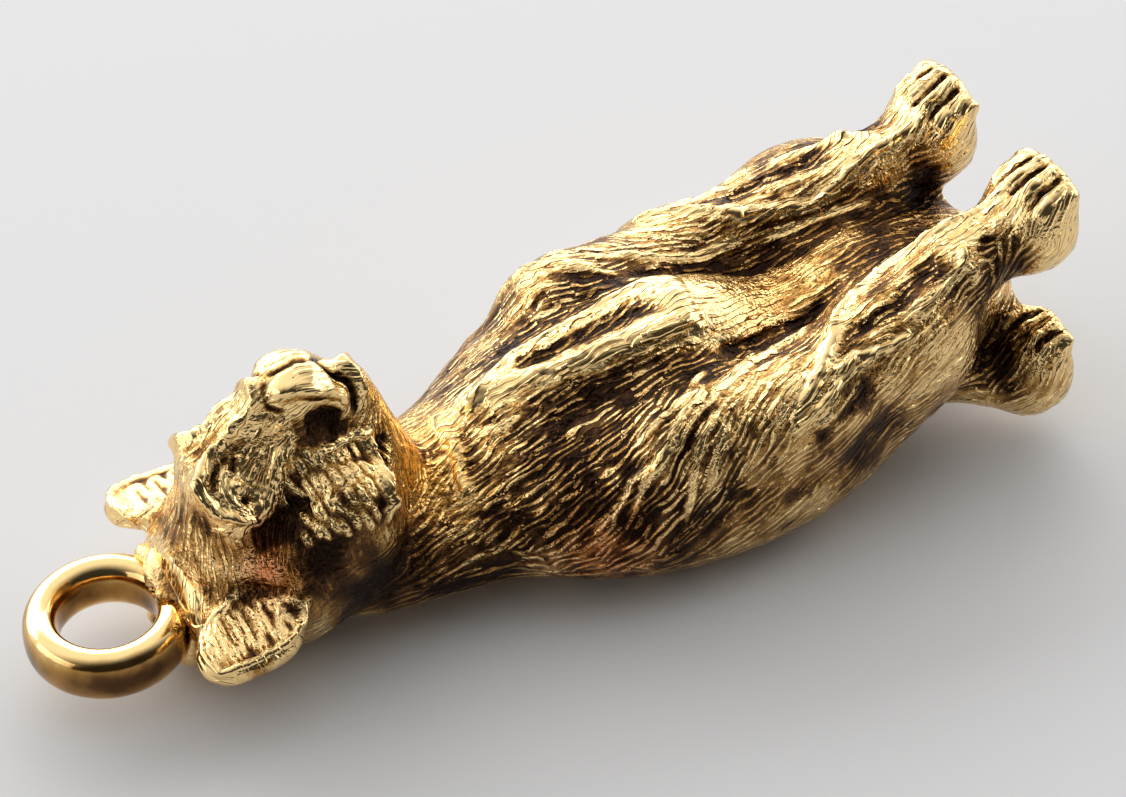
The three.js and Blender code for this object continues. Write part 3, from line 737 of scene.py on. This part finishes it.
@dataclass
class Carver:
    """Works fur, features and wear into a skin."""

    skin: Skin
    seed: int
    rub_share: float = 0.9
    stroke_step: float = 0.12
    stroke_reach: float = 2.2
    stroke_end: float = 0.35
    end_fade: float = 6.0
    full_rub_height: float = 0.12
    rub_spread: float = 1.1
    streak_share: float = 0.75
    cross_weight: float = 1e-4
    most_streak: float = 2.5
    lock_step: float = 0.4
    lock_cover: float = 1.5
    lock_lengths: tuple[float, float] = (0.5, 1.3)
    parting: float = 0.6
    parting_depth: float = 1.3
    flow_turns: int = 8
    evening_turns: int = 12

    def __post_init__(self) -> None:
        """Starts its random draws."""
        self.random = np.random.default_rng(self.seed)

    def rub(self, rubs: tuple[Rub, ...]) -> None:
        """Rubs places smooth.

        Args:
            rubs: the places.
        """
        skin = self.skin
        for rub in rubs:
            soft = sum(skin.near(rub.place, side, rub.reach) for side in rub.sides.value)
            soft = np.clip(soft, 0, 1)[:, None] * self.rub_share
            for _ in range(rub.turns):
                skin.place = skin.eased(skin.place, soft)

    def press(self, strokes: tuple[Stroke, ...]) -> Array:
        """Raises ridges and presses grooves into the skin.

        Args:
            strokes: the ridges and grooves.

        Returns:
            How much each corner gets rubbed: 1 on a ridge, -1 in a groove.
        """
        place = self.skin.place
        lift, rubbed = np.zeros(len(place)), np.zeros(len(place))
        tree = tree_of(place)
        for stroke in strokes:
            share = np.clip(stroke.height / self.full_rub_height, -1, 1)
            for side in stroke.sides.value:
                line = np.array([mirrored(point, side) for point in stroke.line])
                line = place[[tree.find(point)[1] for point in spaced(line, self.stroke_step)]]
                reach = stroke.width * self.stroke_reach
                inside = (place > line.min(0) - reach) & (place < line.max(0) + reach)
                near = np.nonzero(inside.all(1))[0]
                away, along = distance_to(place[near], line)
                ends = np.clip(np.minimum(along, 1 - along) * self.end_fade + self.stroke_end, 0, 1)
                lift[near] += stroke.height * np.exp(-((away / stroke.width) ** 2)) * ends
                rubbed[near] += share * np.exp(-((away / (stroke.width * self.rub_spread)) ** 2)) * ends
        self.skin.place = place + self.skin.normals() * lift[:, None]
        return np.clip(rubbed, -1, 1)

    def lay_of_fur(self, guides: tuple[Lay, ...]) -> tuple[Array, Array]:
        """Blends the guides into one fur direction and depth at each corner.

        Args:
            guides: how the fur lies at chosen places.

        Returns:
            Unit directions in the skin, and the depths.
        """
        out = self.skin.normals()
        flow = np.zeros_like(out)
        depth, total = np.zeros(len(out)), np.full(len(out), SMALL)
        for guide in guides:
            for side in guide.sides.value:
                near = self.skin.near(guide.place, side, guide.reach) + SMALL
                flow += near[:, None] * mirrored(guide.run, side)
                depth += near * guide.depth
                total += near
        flow = self.skin.smoothed(unit(flattened(flow, out)), self.flow_turns)
        return unit(flattened(flow, out)), depth / total

    def streaks(self, flow: Array, turns: int, sharpness: float) -> Array:
        """Draws random marks out along the fur.

        Args:
            flow: the fur's directions.
            turns: how far the marks are drawn out.
            sharpness: how little they spread sideways.

        Returns:
            Marks of about unit height, positive on a hair and negative between.
        """
        skin = self.skin
        step = unit(skin.place[skin.b] - skin.place[skin.a])
        along = (step * (flow[skin.a] + flow[skin.b]) / 2).sum(1)
        weights = np.abs(along) ** sharpness + self.cross_weight
        marks = self.random.standard_normal(len(skin.place))
        for _ in range(turns):
            marks = skin.eased(marks, self.streak_share, weights)
        marks -= skin.smoothed(marks, self.evening_turns)
        return np.clip(marks / marks.std(), -self.most_streak, self.most_streak)

    def locks(self, flow: Array, spacing: float, length: float) -> Array:
        """Combs the skin into locks of hair that follow the fur.

        Args:
            flow: the fur's directions.
            spacing: the distance between neighbouring locks.
            length: the length of a lock.

        Returns:
            One at the middle of a lock, falling to about zero in the parting beside it.
        """
        place = self.skin.place
        tree = tree_of(place)
        steps = max(int(length / (spacing * self.lock_step)), 2)
        area = np.linalg.norm(self.skin.face_vectors(), axis=1).sum() / 2
        count = int(area / (spacing * length) * self.lock_cover)
        points = place[self.random.integers(0, len(place), count)]
        grown = self.random.uniform(*self.lock_lengths, count)
        samples = [points]
        for step in range(steps):
            run = np.array([flow[tree.find(point)[1]] for point in points])
            points = points + run * (length / steps)
            samples.append(points[grown * steps > step])
        hairs = tree_of(np.concatenate(samples))
        away = np.array([hairs.find(point)[2] for point in place])
        return 1 - np.clip(away / (spacing * self.parting), 0, self.parting_depth)


def comb(obj: Object, tufts: int, seed: int) -> None:
    """Lays short combed tufts over a mesh, each with a measure across its hairs and one along them.

    Args:
        obj: an object in metres, whose flow attribute holds the fur's directions in the row frame.
        tufts: how many tufts cover it.
        seed: the start of the random draws.
    """
    mesh = obj.data
    random = np.random.default_rng(seed)
    place = read(mesh.vertices, "co") / MM
    out = read(mesh.vertices, "normal")
    flow = read(mesh.attributes["flow"].data, "vector")
    roots = random.choice(len(place), tufts, replace=False)
    tree = tree_of(place[roots])
    middles = read(mesh.polygons, "center") / MM
    middles += random.normal(0, TUFT_FRAY, middles.shape)
    owner = roots[[tree.find(middle)[1] for middle in middles]]
    root = np.repeat(owner, read(mesh.polygons, "loop_total", int, 1))
    offset = place[read(mesh.loops, "vertex_index", int, 1)] - place[root]
    along = flow[root]
    across = np.cross(out[root], along)
    shift = random.uniform(0, TUFT_SHIFT, len(place))[root]
    measure = np.stack([(offset * across).sum(1), (offset * along).sum(1), shift], 1)
    layer = mesh.attributes.new("fur", "FLOAT_VECTOR", "CORNER")
    layer.data.foreach_set("vector", measure.astype(np.float32).ravel())


@dataclass
class Casting:
    """The cat itself: the CAD casting's form with carved fur and features."""

    cell: float = 0.07
    quick_growth: float = 1.25
    relax_turns: int = 12
    most_triangles: int = 196000
    lock_spacing: float = 0.22
    lock_length: float = 1.1
    lock_height: float = 0.035
    lock_middle: float = 0.6
    hair_height: float = 0.008
    hair_turns: int = 14
    hair_sharpness: float = 8.0
    bare_soles: float = 0.06
    bare_back: float = 0.12
    rubbed_off: float = 0.5
    tufts: int = 500
    carving_seed: int = 7
    tuft_seed: int = 11
    base_shade: float = 0.2
    fur_shade: float = 0.46
    rub_shade: float = 0.75
    least_wear: float = -0.6
    most_wear: float = 1.05
    hollow_turns: tuple[int, int, int] = (5, 60, 200)
    hollow_depths: Point = (0.03, 0.15, 0.3)
    hollow_shares: Point = (0.35, 0.5, 0.35)

    def build(self) -> Object:
        """Builds the carved casting.

        Returns:
            The finished object.
        """
        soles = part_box("cat_casting")[1].x / MM
        low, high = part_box("hanging_ring")
        obj = fine_copy("cat_casting", "cat_figure", self.cell * (1))
        skin = Skin(obj, soles, (low.y + high.y) / 2 / MM)
        skin.relax(self.relax_turns)
        carver = Carver(skin, self.carving_seed)
        carver.rub(RUBS)
        rubbed = carver.press(CARVING)
        flow, depth = carver.lay_of_fur(FUR)
        cover = depth * (skin.place[:, 2] > self.bare_soles) * (skin.place[:, 0] > self.bare_back)
        locks = carver.locks(flow, self.lock_spacing, self.lock_length)
        hairs = carver.streaks(flow, self.hair_turns, self.hair_sharpness)
        lift = (locks - self.lock_middle) * self.lock_height + hairs * self.hair_height
        skin.place = skin.place + skin.normals() * (lift * cover)[:, None]
        skin.relax(1)
        furry = np.clip(cover, 0, 1) * (1 - self.rubbed_off * np.clip(rubbed, 0, 1))
        # Patina in the hollows, with painted shade added and painted highlights taken away; then the fur
        # darkens it and rubbing lightens it
        wear = self.hollows(skin) + self.patches(skin, Tone.DARK) - self.patches(skin, Tone.BRIGHT)
        wear = wear + self.fur_shade * furry - self.rub_shade * rubbed
        skin.put_back("cat_casting")
        # The hollow mask holds the patina together with the painted shade and painted highlights
        skin.keep("hollow", np.clip(wear, self.least_wear, self.most_wear))
        skin.keep("furry", furry)
        skin.keep("flow", np.stack([-flow[:, 2], flow[:, 1], flow[:, 0]], 1))
        for tone in (Tone.COPPER, Tone.AMBER):
            skin.keep(tone.value, self.patches(skin, tone))
        self.thin(obj)
        comb(obj, self.tufts, self.tuft_seed)
        return obj

    def thin(self, obj: Object) -> None:
        """Takes out the corners that the carving can spare.

        Args:
            obj: the carved casting.
        """
        count = sum(len(face.vertices) - 2 for face in obj.data.polygons)
        select_only(obj)
        fewer = obj.modifiers.new("fewer", "DECIMATE")
        fewer.ratio = min(self.most_triangles / count, 1)
        bpy.ops.object.modifier_apply(modifier=fewer.name)

    def patches(self, skin: Skin, tone: Tone) -> Array:
        """Gathers the patches of one tone over the skin.

        Args:
            skin: the carved skin.
            tone: the tone.

        Returns:
            Its strength at each corner.
        """
        total = np.zeros(len(skin.place))
        for patch in TONES_AND_PAINTED_LIGHT[tone]:
            for side in patch.sides.value:
                total += patch.strength * skin.near(patch.place, side, patch.reach)
        return np.clip(total, 0, 1)

    def hollows(self, skin: Skin) -> Array:
        """Finds where the patina gathers: below the skin around it, near by, farther off and over all.

        Args:
            skin: the carved skin.

        Returns:
            About -1 on a ridge to 1 in a hollow.
        """
        out = skin.normals()
        near, middle, far = self.hollow_turns
        fine = ((skin.smoothed(skin.place, near) - skin.place) * out).sum(1)
        rounded = skin.smoothed(skin.place, middle)
        broad = ((rounded - skin.place) * out).sum(1)
        overall = ((skin.smoothed(rounded, far) - rounded) * out).sum(1)
        # Each with the depth in millimetres that fills it, and its share of the patina
        parts = zip((fine, broad, overall), self.hollow_depths, self.hollow_shares)
        found = (share * np.clip(part / depth, -1, 1) for part, depth, share in parts)
        return self.base_shade + sum(found)


@dataclass(frozen=True)
class Graph:
    """A shader node tree, with short ways to add the nodes that the finishes use."""

    tree: ShaderNodeTree

    def feed(self, socket: NodeSocket, value: Feed) -> None:
        """Feeds an input.

        Args:
            socket: the input.
            value: the output to link it to, or the number or colour to set on it.
        """
        if isinstance(value, NodeSocket):
            self.tree.links.new(value, socket)
        else:
            socket.default_value = value

    def add(self, kind: str, feeds: dict[str | int, Feed], **options: object) -> ShaderNode:
        """Adds a node.

        Args:
            kind: its kind, as the end of its type's name.
            feeds: what each of its inputs gets, by the input's name or number.
            options: its own options.

        Returns:
            The node.
        """
        node = self.tree.nodes.new("ShaderNode" + kind)
        for name, value in options.items():
            setattr(node, name, value)
        for name, value in feeds.items():
            self.feed(node.inputs[name], value)
        return node

    def math(self, operation: str, a: NodeSocket, b: Feed = 0.0, clamp: bool = False) -> NodeSocket:
        """Adds a Math node.

        Args:
            operation: what it works out.
            a: its first input.
            b: its second input.
            clamp: whether the result is kept between 0 and 1.

        Returns:
            Its output.
        """
        return self.add("Math", {0: a, 1: b}, operation=operation, use_clamp=clamp).outputs[0]

    def noise(self, where: NodeSocket, scale: float | Point, detail: float) -> NodeSocket:
        """Adds a Noise Texture node.

        Args:
            where: its coordinates.
            scale: its scale, one for all axes or one for each.
            detail: its detail.

        Returns:
            Its value.
        """
        if isinstance(scale, tuple):
            where = self.add("VectorMath", {0: where, 1: scale}, operation="MULTIPLY").outputs[0]
            scale = 1.0
        return self.add("TexNoise", {"Vector": where, "Scale": scale, "Detail": detail}).outputs[0]

    def mixed(self, share: NodeSocket, first: NodeSocket, second: Feed, blend: str = "MIX") -> NodeSocket:
        """Mixes two colours.

        Args:
            share: how much of the second colour comes in.
            first: the first colour.
            second: the second colour.
            blend: how the two are blended.

        Returns:
            The mixed colour.
        """
        node = self.add("Mix", {0: share}, data_type="RGBA", blend_type=blend)
        colors = [socket for socket in node.inputs if socket.type == "RGBA"]
        self.feed(colors[0], first)
        self.feed(colors[1], second)
        return next(socket for socket in node.outputs if socket.type == "RGBA")

    def mask(self, name: str) -> NodeSocket:
        """Reads a mask that the piece holds."""
        return self.add("Attribute", {}, attribute_name=name).outputs["Fac"]


def group_of(name: str, inputs: dict[str, tuple], outputs: dict[str, str]) -> Graph:
    """Makes an empty shader node group with its sockets.

    Args:
        name: the group's name.
        inputs: each input's socket type and default.
        outputs: each output's socket type.

    Returns:
        The group.
    """
    tree = bpy.data.node_groups.new(name, "ShaderNodeTree")
    for label, (kind, value) in inputs.items():
        socket = tree.interface.new_socket(label, in_out="INPUT", socket_type=kind)
        socket.default_value = value
    for label, kind in outputs.items():
        tree.interface.new_socket(label, in_out="OUTPUT", socket_type=kind)
    tree.nodes.new("NodeGroupInput")
    tree.nodes.new("NodeGroupOutput")
    return Graph(tree)


def grain_group(fine: float = 9000.0, coarse: float = 3500.0, broad: float = 1300.0) -> ShaderNodeTree:
    """Makes the cast grain: a fine height for the bump, and broad mottling for the wear.

    Args:
        fine: the scale of the finest grain.
        coarse: the scale of the coarser grain.
        broad: the scale of the mottling.

    Returns:
        The group.
    """
    graph = group_of("cast_grain", {}, {"Height": "NodeSocketFloat", "Mottle": "NodeSocketFloat"})
    where = graph.add("TexCoord", {}).outputs["Object"]
    made = graph.tree.nodes["Group Output"].inputs
    grains = (graph.noise(where, scale, detail) for scale, detail in ((fine, 2.0), (coarse, 3.0)))
    graph.feed(made["Height"], graph.math("ADD", *grains))
    graph.feed(made["Mottle"], graph.noise(where, broad, 5.0))
    return graph.tree


def fur_group(
    spacing: float = 0.165,
    sway: float = 22.0,
    width: float = 0.25,
    steepness: float = 1.3,
    gap: float = 0.36,
    gap_sharpness: float = 7.0,
) -> ShaderNodeTree:
    """Makes the finest hairs: thin wavy crests that run along the fur, as a height from 0 to 1.

    Args:
        spacing: the distance between hairs, in millimetres.
        sway: how far they wander from side to side, as an angle.
        width: how much of the wave stands above the cut.
        steepness: how fast a hair rises to its full height.
        gap: the noise under which the hairs are broken off.
        gap_sharpness: how sharply they end there.

    Returns:
        The group.
    """
    graph = group_of("fur_lines", {}, {"Height": "NodeSocketFloat"})
    measure = graph.add("Attribute", {}, attribute_name="fur").outputs["Vector"]
    apart = graph.add("SeparateXYZ", {"Vector": measure})
    wander = graph.noise(measure, (1.5, 0.8, 1.0), 2.0)
    # A wave across the hairs, cut to its crests and broken off where a second noise is low
    turn = graph.math("MULTIPLY", apart.outputs["X"], 2 * math.pi / spacing)
    turn = graph.math("ADD", turn, graph.math("MULTIPLY", wander, sway))
    crest = graph.math("ADD", graph.math("SINE", turn), width)
    crest = graph.math("MULTIPLY", crest, steepness, clamp=True)
    broken = graph.noise(measure, (3.0, 1.3, 1.0), 1.0)
    broken = graph.math("MULTIPLY", graph.math("SUBTRACT", broken, gap), gap_sharpness, clamp=True)
    height = graph.math("MULTIPLY", crest, broken)
    graph.feed(graph.tree.nodes["Group Output"].inputs["Height"], height)
    return graph.tree


def wear_and_painted_light_group() -> ShaderNodeTree:
    """Makes the wear of a gilt surface: its colour and roughness from rubbed bright to dark patina, and
    the painted shade and painted highlights that its depth carries.

    Returns:
        The group.
    """
    inputs = {name: ("NodeSocketColor", (0.5, 0.5, 0.5, 1.0)) for name in SHADES}
    inputs |= {name: ("NodeSocketFloat", 0.3) for name in ("Depth", "Polish", "Dull")}
    graph = group_of("gilt_wear_and_painted_light", inputs, {"Color": "NodeSocketColor", "Roughness": "NodeSocketFloat"})
    given = graph.tree.nodes["Group Input"].outputs
    color = given[SHADES[0]]
    stops = (0.0, 0.35, 0.65, 1.0)
    for name, start, end in zip(SHADES[1:], stops, stops[1:]):
        share = graph.math("SUBTRACT", given["Depth"], start)
        share = graph.math("DIVIDE", share, end - start, clamp=True)
        color = graph.mixed(share, color, given[name])
    ends = {"Value": given["Depth"], "To Min": given["Polish"], "To Max": given["Dull"]}
    rough = graph.add("MapRange", ends)
    made = graph.tree.nodes["Group Output"].inputs
    graph.feed(made["Color"], color)
    graph.feed(made["Roughness"], rough.outputs["Result"])
    return graph.tree


@dataclass(frozen=True)
class FinishGroups:
    """The node groups that the golds share."""

    grain: ShaderNodeTree
    fur: ShaderNodeTree
    wear: ShaderNodeTree


@dataclass(frozen=True)
class GoldFinish:
    """Gold plate over a casting, darkened in its hollows and rubbed bright on its ridges, with the
    painted shade and painted highlights that the casting's and ring's hollow masks carry.
    """

    name: str
    bright: Point = (1.0, 0.71, 0.32)
    deep: Point = (0.5, 0.27, 0.075)
    brown: Point = (0.12, 0.058, 0.022)
    patina: Point = (0.025, 0.013, 0.008)
    copper: Point = (0.8, 0.44, 0.38)
    amber: Point = (1.0, 0.83, 0.5)
    polish: float = 0.16
    dull: float = 0.38
    grain: float = 0.6
    least_grain: float = 0.45
    mottle: float = 1.9
    drawn_share: float = 0.8
    relief: float = 0.00012
    furred: bool = False

    def material(self, groups: FinishGroups) -> Material:
        """Makes the material.

        Args:
            groups: the node groups that the golds share.

        Returns:
            The material.
        """
        made = bpy.data.materials.new(self.name)
        made.use_nodes = True
        graph = Graph(made.node_tree)
        shader = made.node_tree.nodes["Principled BSDF"].inputs
        shader["Metallic"].default_value = 1.0
        texture = graph.add("Group", {}, node_tree=groups.grain).outputs
        # The hollow mask holds patina, and on the casting and the ring painted shade and painted
        # highlights as well
        hollow = graph.mask("hollow")
        cast = graph.math("ADD", hollow, self.least_grain, clamp=True)
        height = graph.math("MULTIPLY", texture["Height"], graph.math("MULTIPLY", cast, self.grain))
        mottle = graph.math("SUBTRACT", texture["Mottle"], 0.5)
        depth = graph.math("ADD", hollow, graph.math("MULTIPLY", mottle, self.mottle))
        if self.furred:
            lines = graph.add("Group", {}, node_tree=groups.fur).outputs["Height"]
            drawn = graph.math("MULTIPLY", lines, graph.mask("furry"))
            height = graph.math("ADD", height, drawn)
            depth = graph.math("SUBTRACT", depth, graph.math("MULTIPLY", drawn, self.drawn_share))
        shades = {name: (*getattr(self, name.lower()), 1) for name in SHADES}
        feeds = shades | {"Polish": self.polish, "Dull": self.dull, "Depth": depth}
        wear = graph.add("Group", feeds, node_tree=groups.wear)
        color = wear.outputs["Color"]
        if self.furred:
            for tone, tint in ((Tone.COPPER, self.copper), (Tone.AMBER, self.amber)):
                color = graph.mixed(graph.mask(tone.value), color, (*tint, 1), "MULTIPLY")
        bump = graph.add("Bump", {"Distance": self.relief, "Height": height})
        graph.feed(shader["Base Color"], color)
        graph.feed(shader["Roughness"], wear.outputs["Roughness"])
        graph.feed(shader["Normal"], bump.outputs["Normal"])
        return made


@dataclass
class HangingRing:
    """The closed ring of oval wire that stands on the crown."""

    hole: float = 2.04
    thickness: float = 0.76
    depth: float = 1.2
    turns: int = 160
    around: int = 40
    squareness: float = 2.6
    unevenness: float = 0.02
    margin: float = 0.985
    crest_shade: float = -0.15
    # Painted shade on the outer rim and in the bore
    rim_painted_shade: float = 0.75
    bore_painted_shade: float = 0.65
    patchiness: float = 0.08
    waves: int = 3
    wave_starts: Point = (0.7, 0.4, 1.0)

    def centre(self) -> Vector:
        """Works out where the ring stands.

        Returns:
            Its centre in the row frame, in metres.
        """
        low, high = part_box("hanging_ring")
        outer = (self.hole / 2 + self.thickness) * MM
        return Vector((low.x + outer, (low.y + high.y) / 2, (low.z + high.z) / 2))

    def build(self) -> Object:
        """Builds the ring.

        Returns:
            The finished object.
        """
        centre = self.centre()
        middle, half = (self.hole + self.thickness) / 2 * MM, self.thickness / 2 * MM
        select_none()
        bpy.ops.mesh.primitive_torus_add(
            major_segments=self.turns,
            minor_segments=self.around,
            major_radius=middle,
            minor_radius=half,
            location=centre,
        )
        obj = bpy.context.active_object
        obj.name = obj.data.name = "gold_ring"
        bpy.ops.object.transform_apply(location=True, rotation=True, scale=True)
        place = read(obj.data.vertices, "co")
        x, y, z = (place - np.array(centre)).T
        turn = np.arctan2(z / half, (np.hypot(x, y) - middle) / half)
        cos, sin = np.cos(turn), np.sin(turn)
        power = self.squareness
        square = (np.abs(cos) ** power + np.abs(sin) ** power) ** (-1 / power)
        angle = np.arctan2(y, x)
        around, across, shaded = self.wave_starts
        wobble = 1 - self.unevenness * (1 + np.sin(self.waves * angle + around) * np.sin(turn + across))
        radius = middle + cos * square * half * wobble
        height = sin * square * self.depth / 2 * MM * wobble * self.margin
        place = np.stack([radius * np.cos(angle), radius * np.sin(angle), height], 1) + np.array(centre)
        obj.data.vertices.foreach_set("co", place.astype(np.float32).ravel())
        layer = obj.data.attributes.new("hollow", "FLOAT", "POINT")
        # Patchy tone around the ring, with painted shade on the outer rim and in the bore; the ring's
        # hollow mask carries it
        patchy_and_painted_shade = self.crest_shade + self.patchiness * np.sin(self.waves * angle + shaded)
        patchy_and_painted_shade += self.rim_painted_shade * np.clip(cos, 0, 1) ** 2 + self.bore_painted_shade * np.clip(-cos, 0, 1) ** 2
        layer.data.foreach_set("value", patchy_and_painted_shade.astype(np.float32))
        obj.data.update()
        return obj


@dataclass
class SolderLump:
    """The rough lump of solder that joins the ring's foot to the crown."""

    cell: float = 0.05
    swell: float = 0.06
    lump_height: float = 0.1
    most_lump: float = 1.5
    lump_turns: int = 40
    relax_turns: int = 6
    base_shade: float = 0.2
    lump_shade: float = 0.25
    seed: int = 5

    def build(self) -> Object:
        """Builds the lump.

        Returns:
            The finished object.
        """
        obj = fine_copy("solder_collar", "solder_lump", self.cell)
        skin = Skin(obj, 0.0, 0.0)
        skin.relax(self.relax_turns)
        random = np.random.default_rng(self.seed)
        lumps = skin.smoothed(random.standard_normal(len(skin.place)), self.lump_turns)
        lumps = np.clip(lumps / lumps.std(), -self.most_lump, self.most_lump)
        skin.place = skin.place + skin.normals() * (self.swell + lumps * self.lump_height)[:, None]
        skin.keep("hollow", self.base_shade - self.lump_shade * lumps)
        skin.put_back("solder_collar")
        return obj


@dataclass
class Studio:
    """The pale table, the soft lamps and the camera at the photograph's viewing angle."""

    azimuth: float = -28.5
    elevation: float = 41.0
    focal_share: float = 2800 / 1126
    camera_from_ring: Point = (-11.28, -40.79, 42.14)
    window_side: Point = (0.1, 1.0, 0.3)
    room_turn: tuple[float, float] = (-0.55, 0.75)
    room_light: tuple[float, float] = (0.04, 1.15)
    room_color: Point = (1.0, 0.99, 0.97)
    table_size: float = 3.0
    table_color: Point = (0.66, 0.66, 0.67)
    table_roughness: float = 0.8

    def build(self, ring_centre: Vector) -> None:
        """Sets up the table, lamps, world and camera.

        Args:
            ring_centre: the ring's centre in the row frame, in metres.
        """
        self._table()
        self._world()
        self._lamp("window_bank", (0.02, 0.3, 0.14), (0.7, 0.24), 1.3)
        self._lamp("feet_softbox", (0.3, 0.0, 0.12), (0.3, 0.15), 0.28)
        self._lamp("head_softbox", (-0.28, 0.02, 0.1), (0.3, 0.18), 0.2)
        self._camera(ring_centre)

    def _table(self) -> None:
        """Makes the pale table, a wide flat sheet."""
        select_none()
        bpy.ops.mesh.primitive_plane_add(size=self.table_size, location=(0, 0, 0))
        floor = bpy.context.active_object
        floor.name = "pale_table"
        paint = bpy.data.materials.new("pale_table")
        paint.use_nodes = True
        shader = paint.node_tree.nodes["Principled BSDF"]
        shader.inputs["Base Color"].default_value = (*self.table_color, 1)
        shader.inputs["Roughness"].default_value = self.table_roughness
        floor.data.materials.append(paint)

    def _world(self) -> None:
        """Makes the room: bright on the side of the window, dim on the other."""
        world = bpy.data.worlds.new("studio")
        bpy.context.scene.world = world
        world.use_nodes = True
        graph = Graph(world.node_tree)
        where = graph.add("TexCoord", {}).outputs["Generated"]
        side = tuple(Vector(self.window_side).normalized())
        toward = graph.add("VectorMath", {0: where, 1: side}, operation="DOT_PRODUCT").outputs["Value"]
        level = graph.add("MapRange", {"Value": toward}, interpolation_type="SMOOTHSTEP")
        for end, turn, light in zip(("Min", "Max"), self.room_turn, self.room_light):
            level.inputs[f"From {end}"].default_value = turn
            level.inputs[f"To {end}"].default_value = light
        background = world.node_tree.nodes["Background"].inputs
        background["Color"].default_value = (*self.room_color, 1)
        graph.feed(background["Strength"], level.outputs["Result"])

    def _lamp(self, name: str, place: Point, size: tuple[float, float], power: float) -> None:
        """Hangs a softbox that faces the charm.

        Args:
            name: the lamp's name.
            place: where it hangs, in metres.
            size: its width and height, in metres.
            power: its power in watts.
        """
        data = bpy.data.lights.new(name, "AREA")
        data.shape = "RECTANGLE"
        data.size, data.size_y = size
        data.energy = power
        lamp = bpy.data.objects.new(name, data)
        bpy.context.scene.collection.objects.link(lamp)
        lamp.location = place
        lamp.rotation_mode = "QUATERNION"
        lamp.rotation_quaternion = (-Vector(place)).to_track_quat("-Z", "Y")

    def _camera(self, ring_centre: Vector) -> None:
        """Sets the camera at the photograph's viewing angle.

        Args:
            ring_centre: the ring's centre in the row frame, in metres.
        """
        data = bpy.data.cameras.new("view")
        data.lens = data.sensor_width * self.focal_share
        data.clip_start, data.clip_end = 0.005, 5.0
        camera = bpy.data.objects.new("view", data)
        bpy.context.scene.collection.objects.link(camera)
        a, e = math.radians(self.azimuth), math.radians(self.elevation)
        back = Vector((math.sin(a) * math.cos(e), -math.cos(a) * math.cos(e), math.sin(e)))
        camera.location = ring_centre + Vector(self.camera_from_ring) * MM
        camera.rotation_mode = "QUATERNION"
        camera.rotation_quaternion = (-back).to_track_quat("-Z", "Y")
        bpy.context.scene.camera = camera


def finish_piece(obj: Object, material: Material, node: str) -> None:
    """Dresses a finished piece and puts it in its CAD node's place.

    Args:
        obj: the piece.
        material: its finish.
        node: the CAD node that it stands for.
    """
    obj.data.materials.clear()
    obj.data.materials.append(material)
    select_only(obj)
    bpy.ops.object.shade_smooth()
    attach(obj, "root")
    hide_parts(node)
    log.info("%s: %d faces", obj.name, len(obj.data.polygons))


def main() -> None:
    """Builds the scene."""
    logging.basicConfig(level=logging.INFO, format="%(name)s %(message)s")
    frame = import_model()
    log.info("frame: %d nodes", len(frame["nodes"]))
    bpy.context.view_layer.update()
    bpy.context.scene.view_settings.view_transform = "Standard"
    ring = HangingRing()
    Studio().build(ring.centre())
    groups = FinishGroups(grain_group(), fur_group(), wear_and_painted_light_group())
    casting_gold = GoldFinish("antique_gold", furred=True).material(groups)
    ring_gold = GoldFinish("ring_gold", polish=0.09, dull=0.26, grain=0.03, mottle=0.7).material(groups)
    solder_gold = GoldFinish("solder_gold", polish=0.3).material(groups)
    finish_piece(Casting().build(), casting_gold, "cat_casting")
    finish_piece(ring.build(), ring_gold, "hanging_ring")
    finish_piece(SolderLump().build(), solder_gold, "solder_collar")


if __name__ == "__main__":
    main()
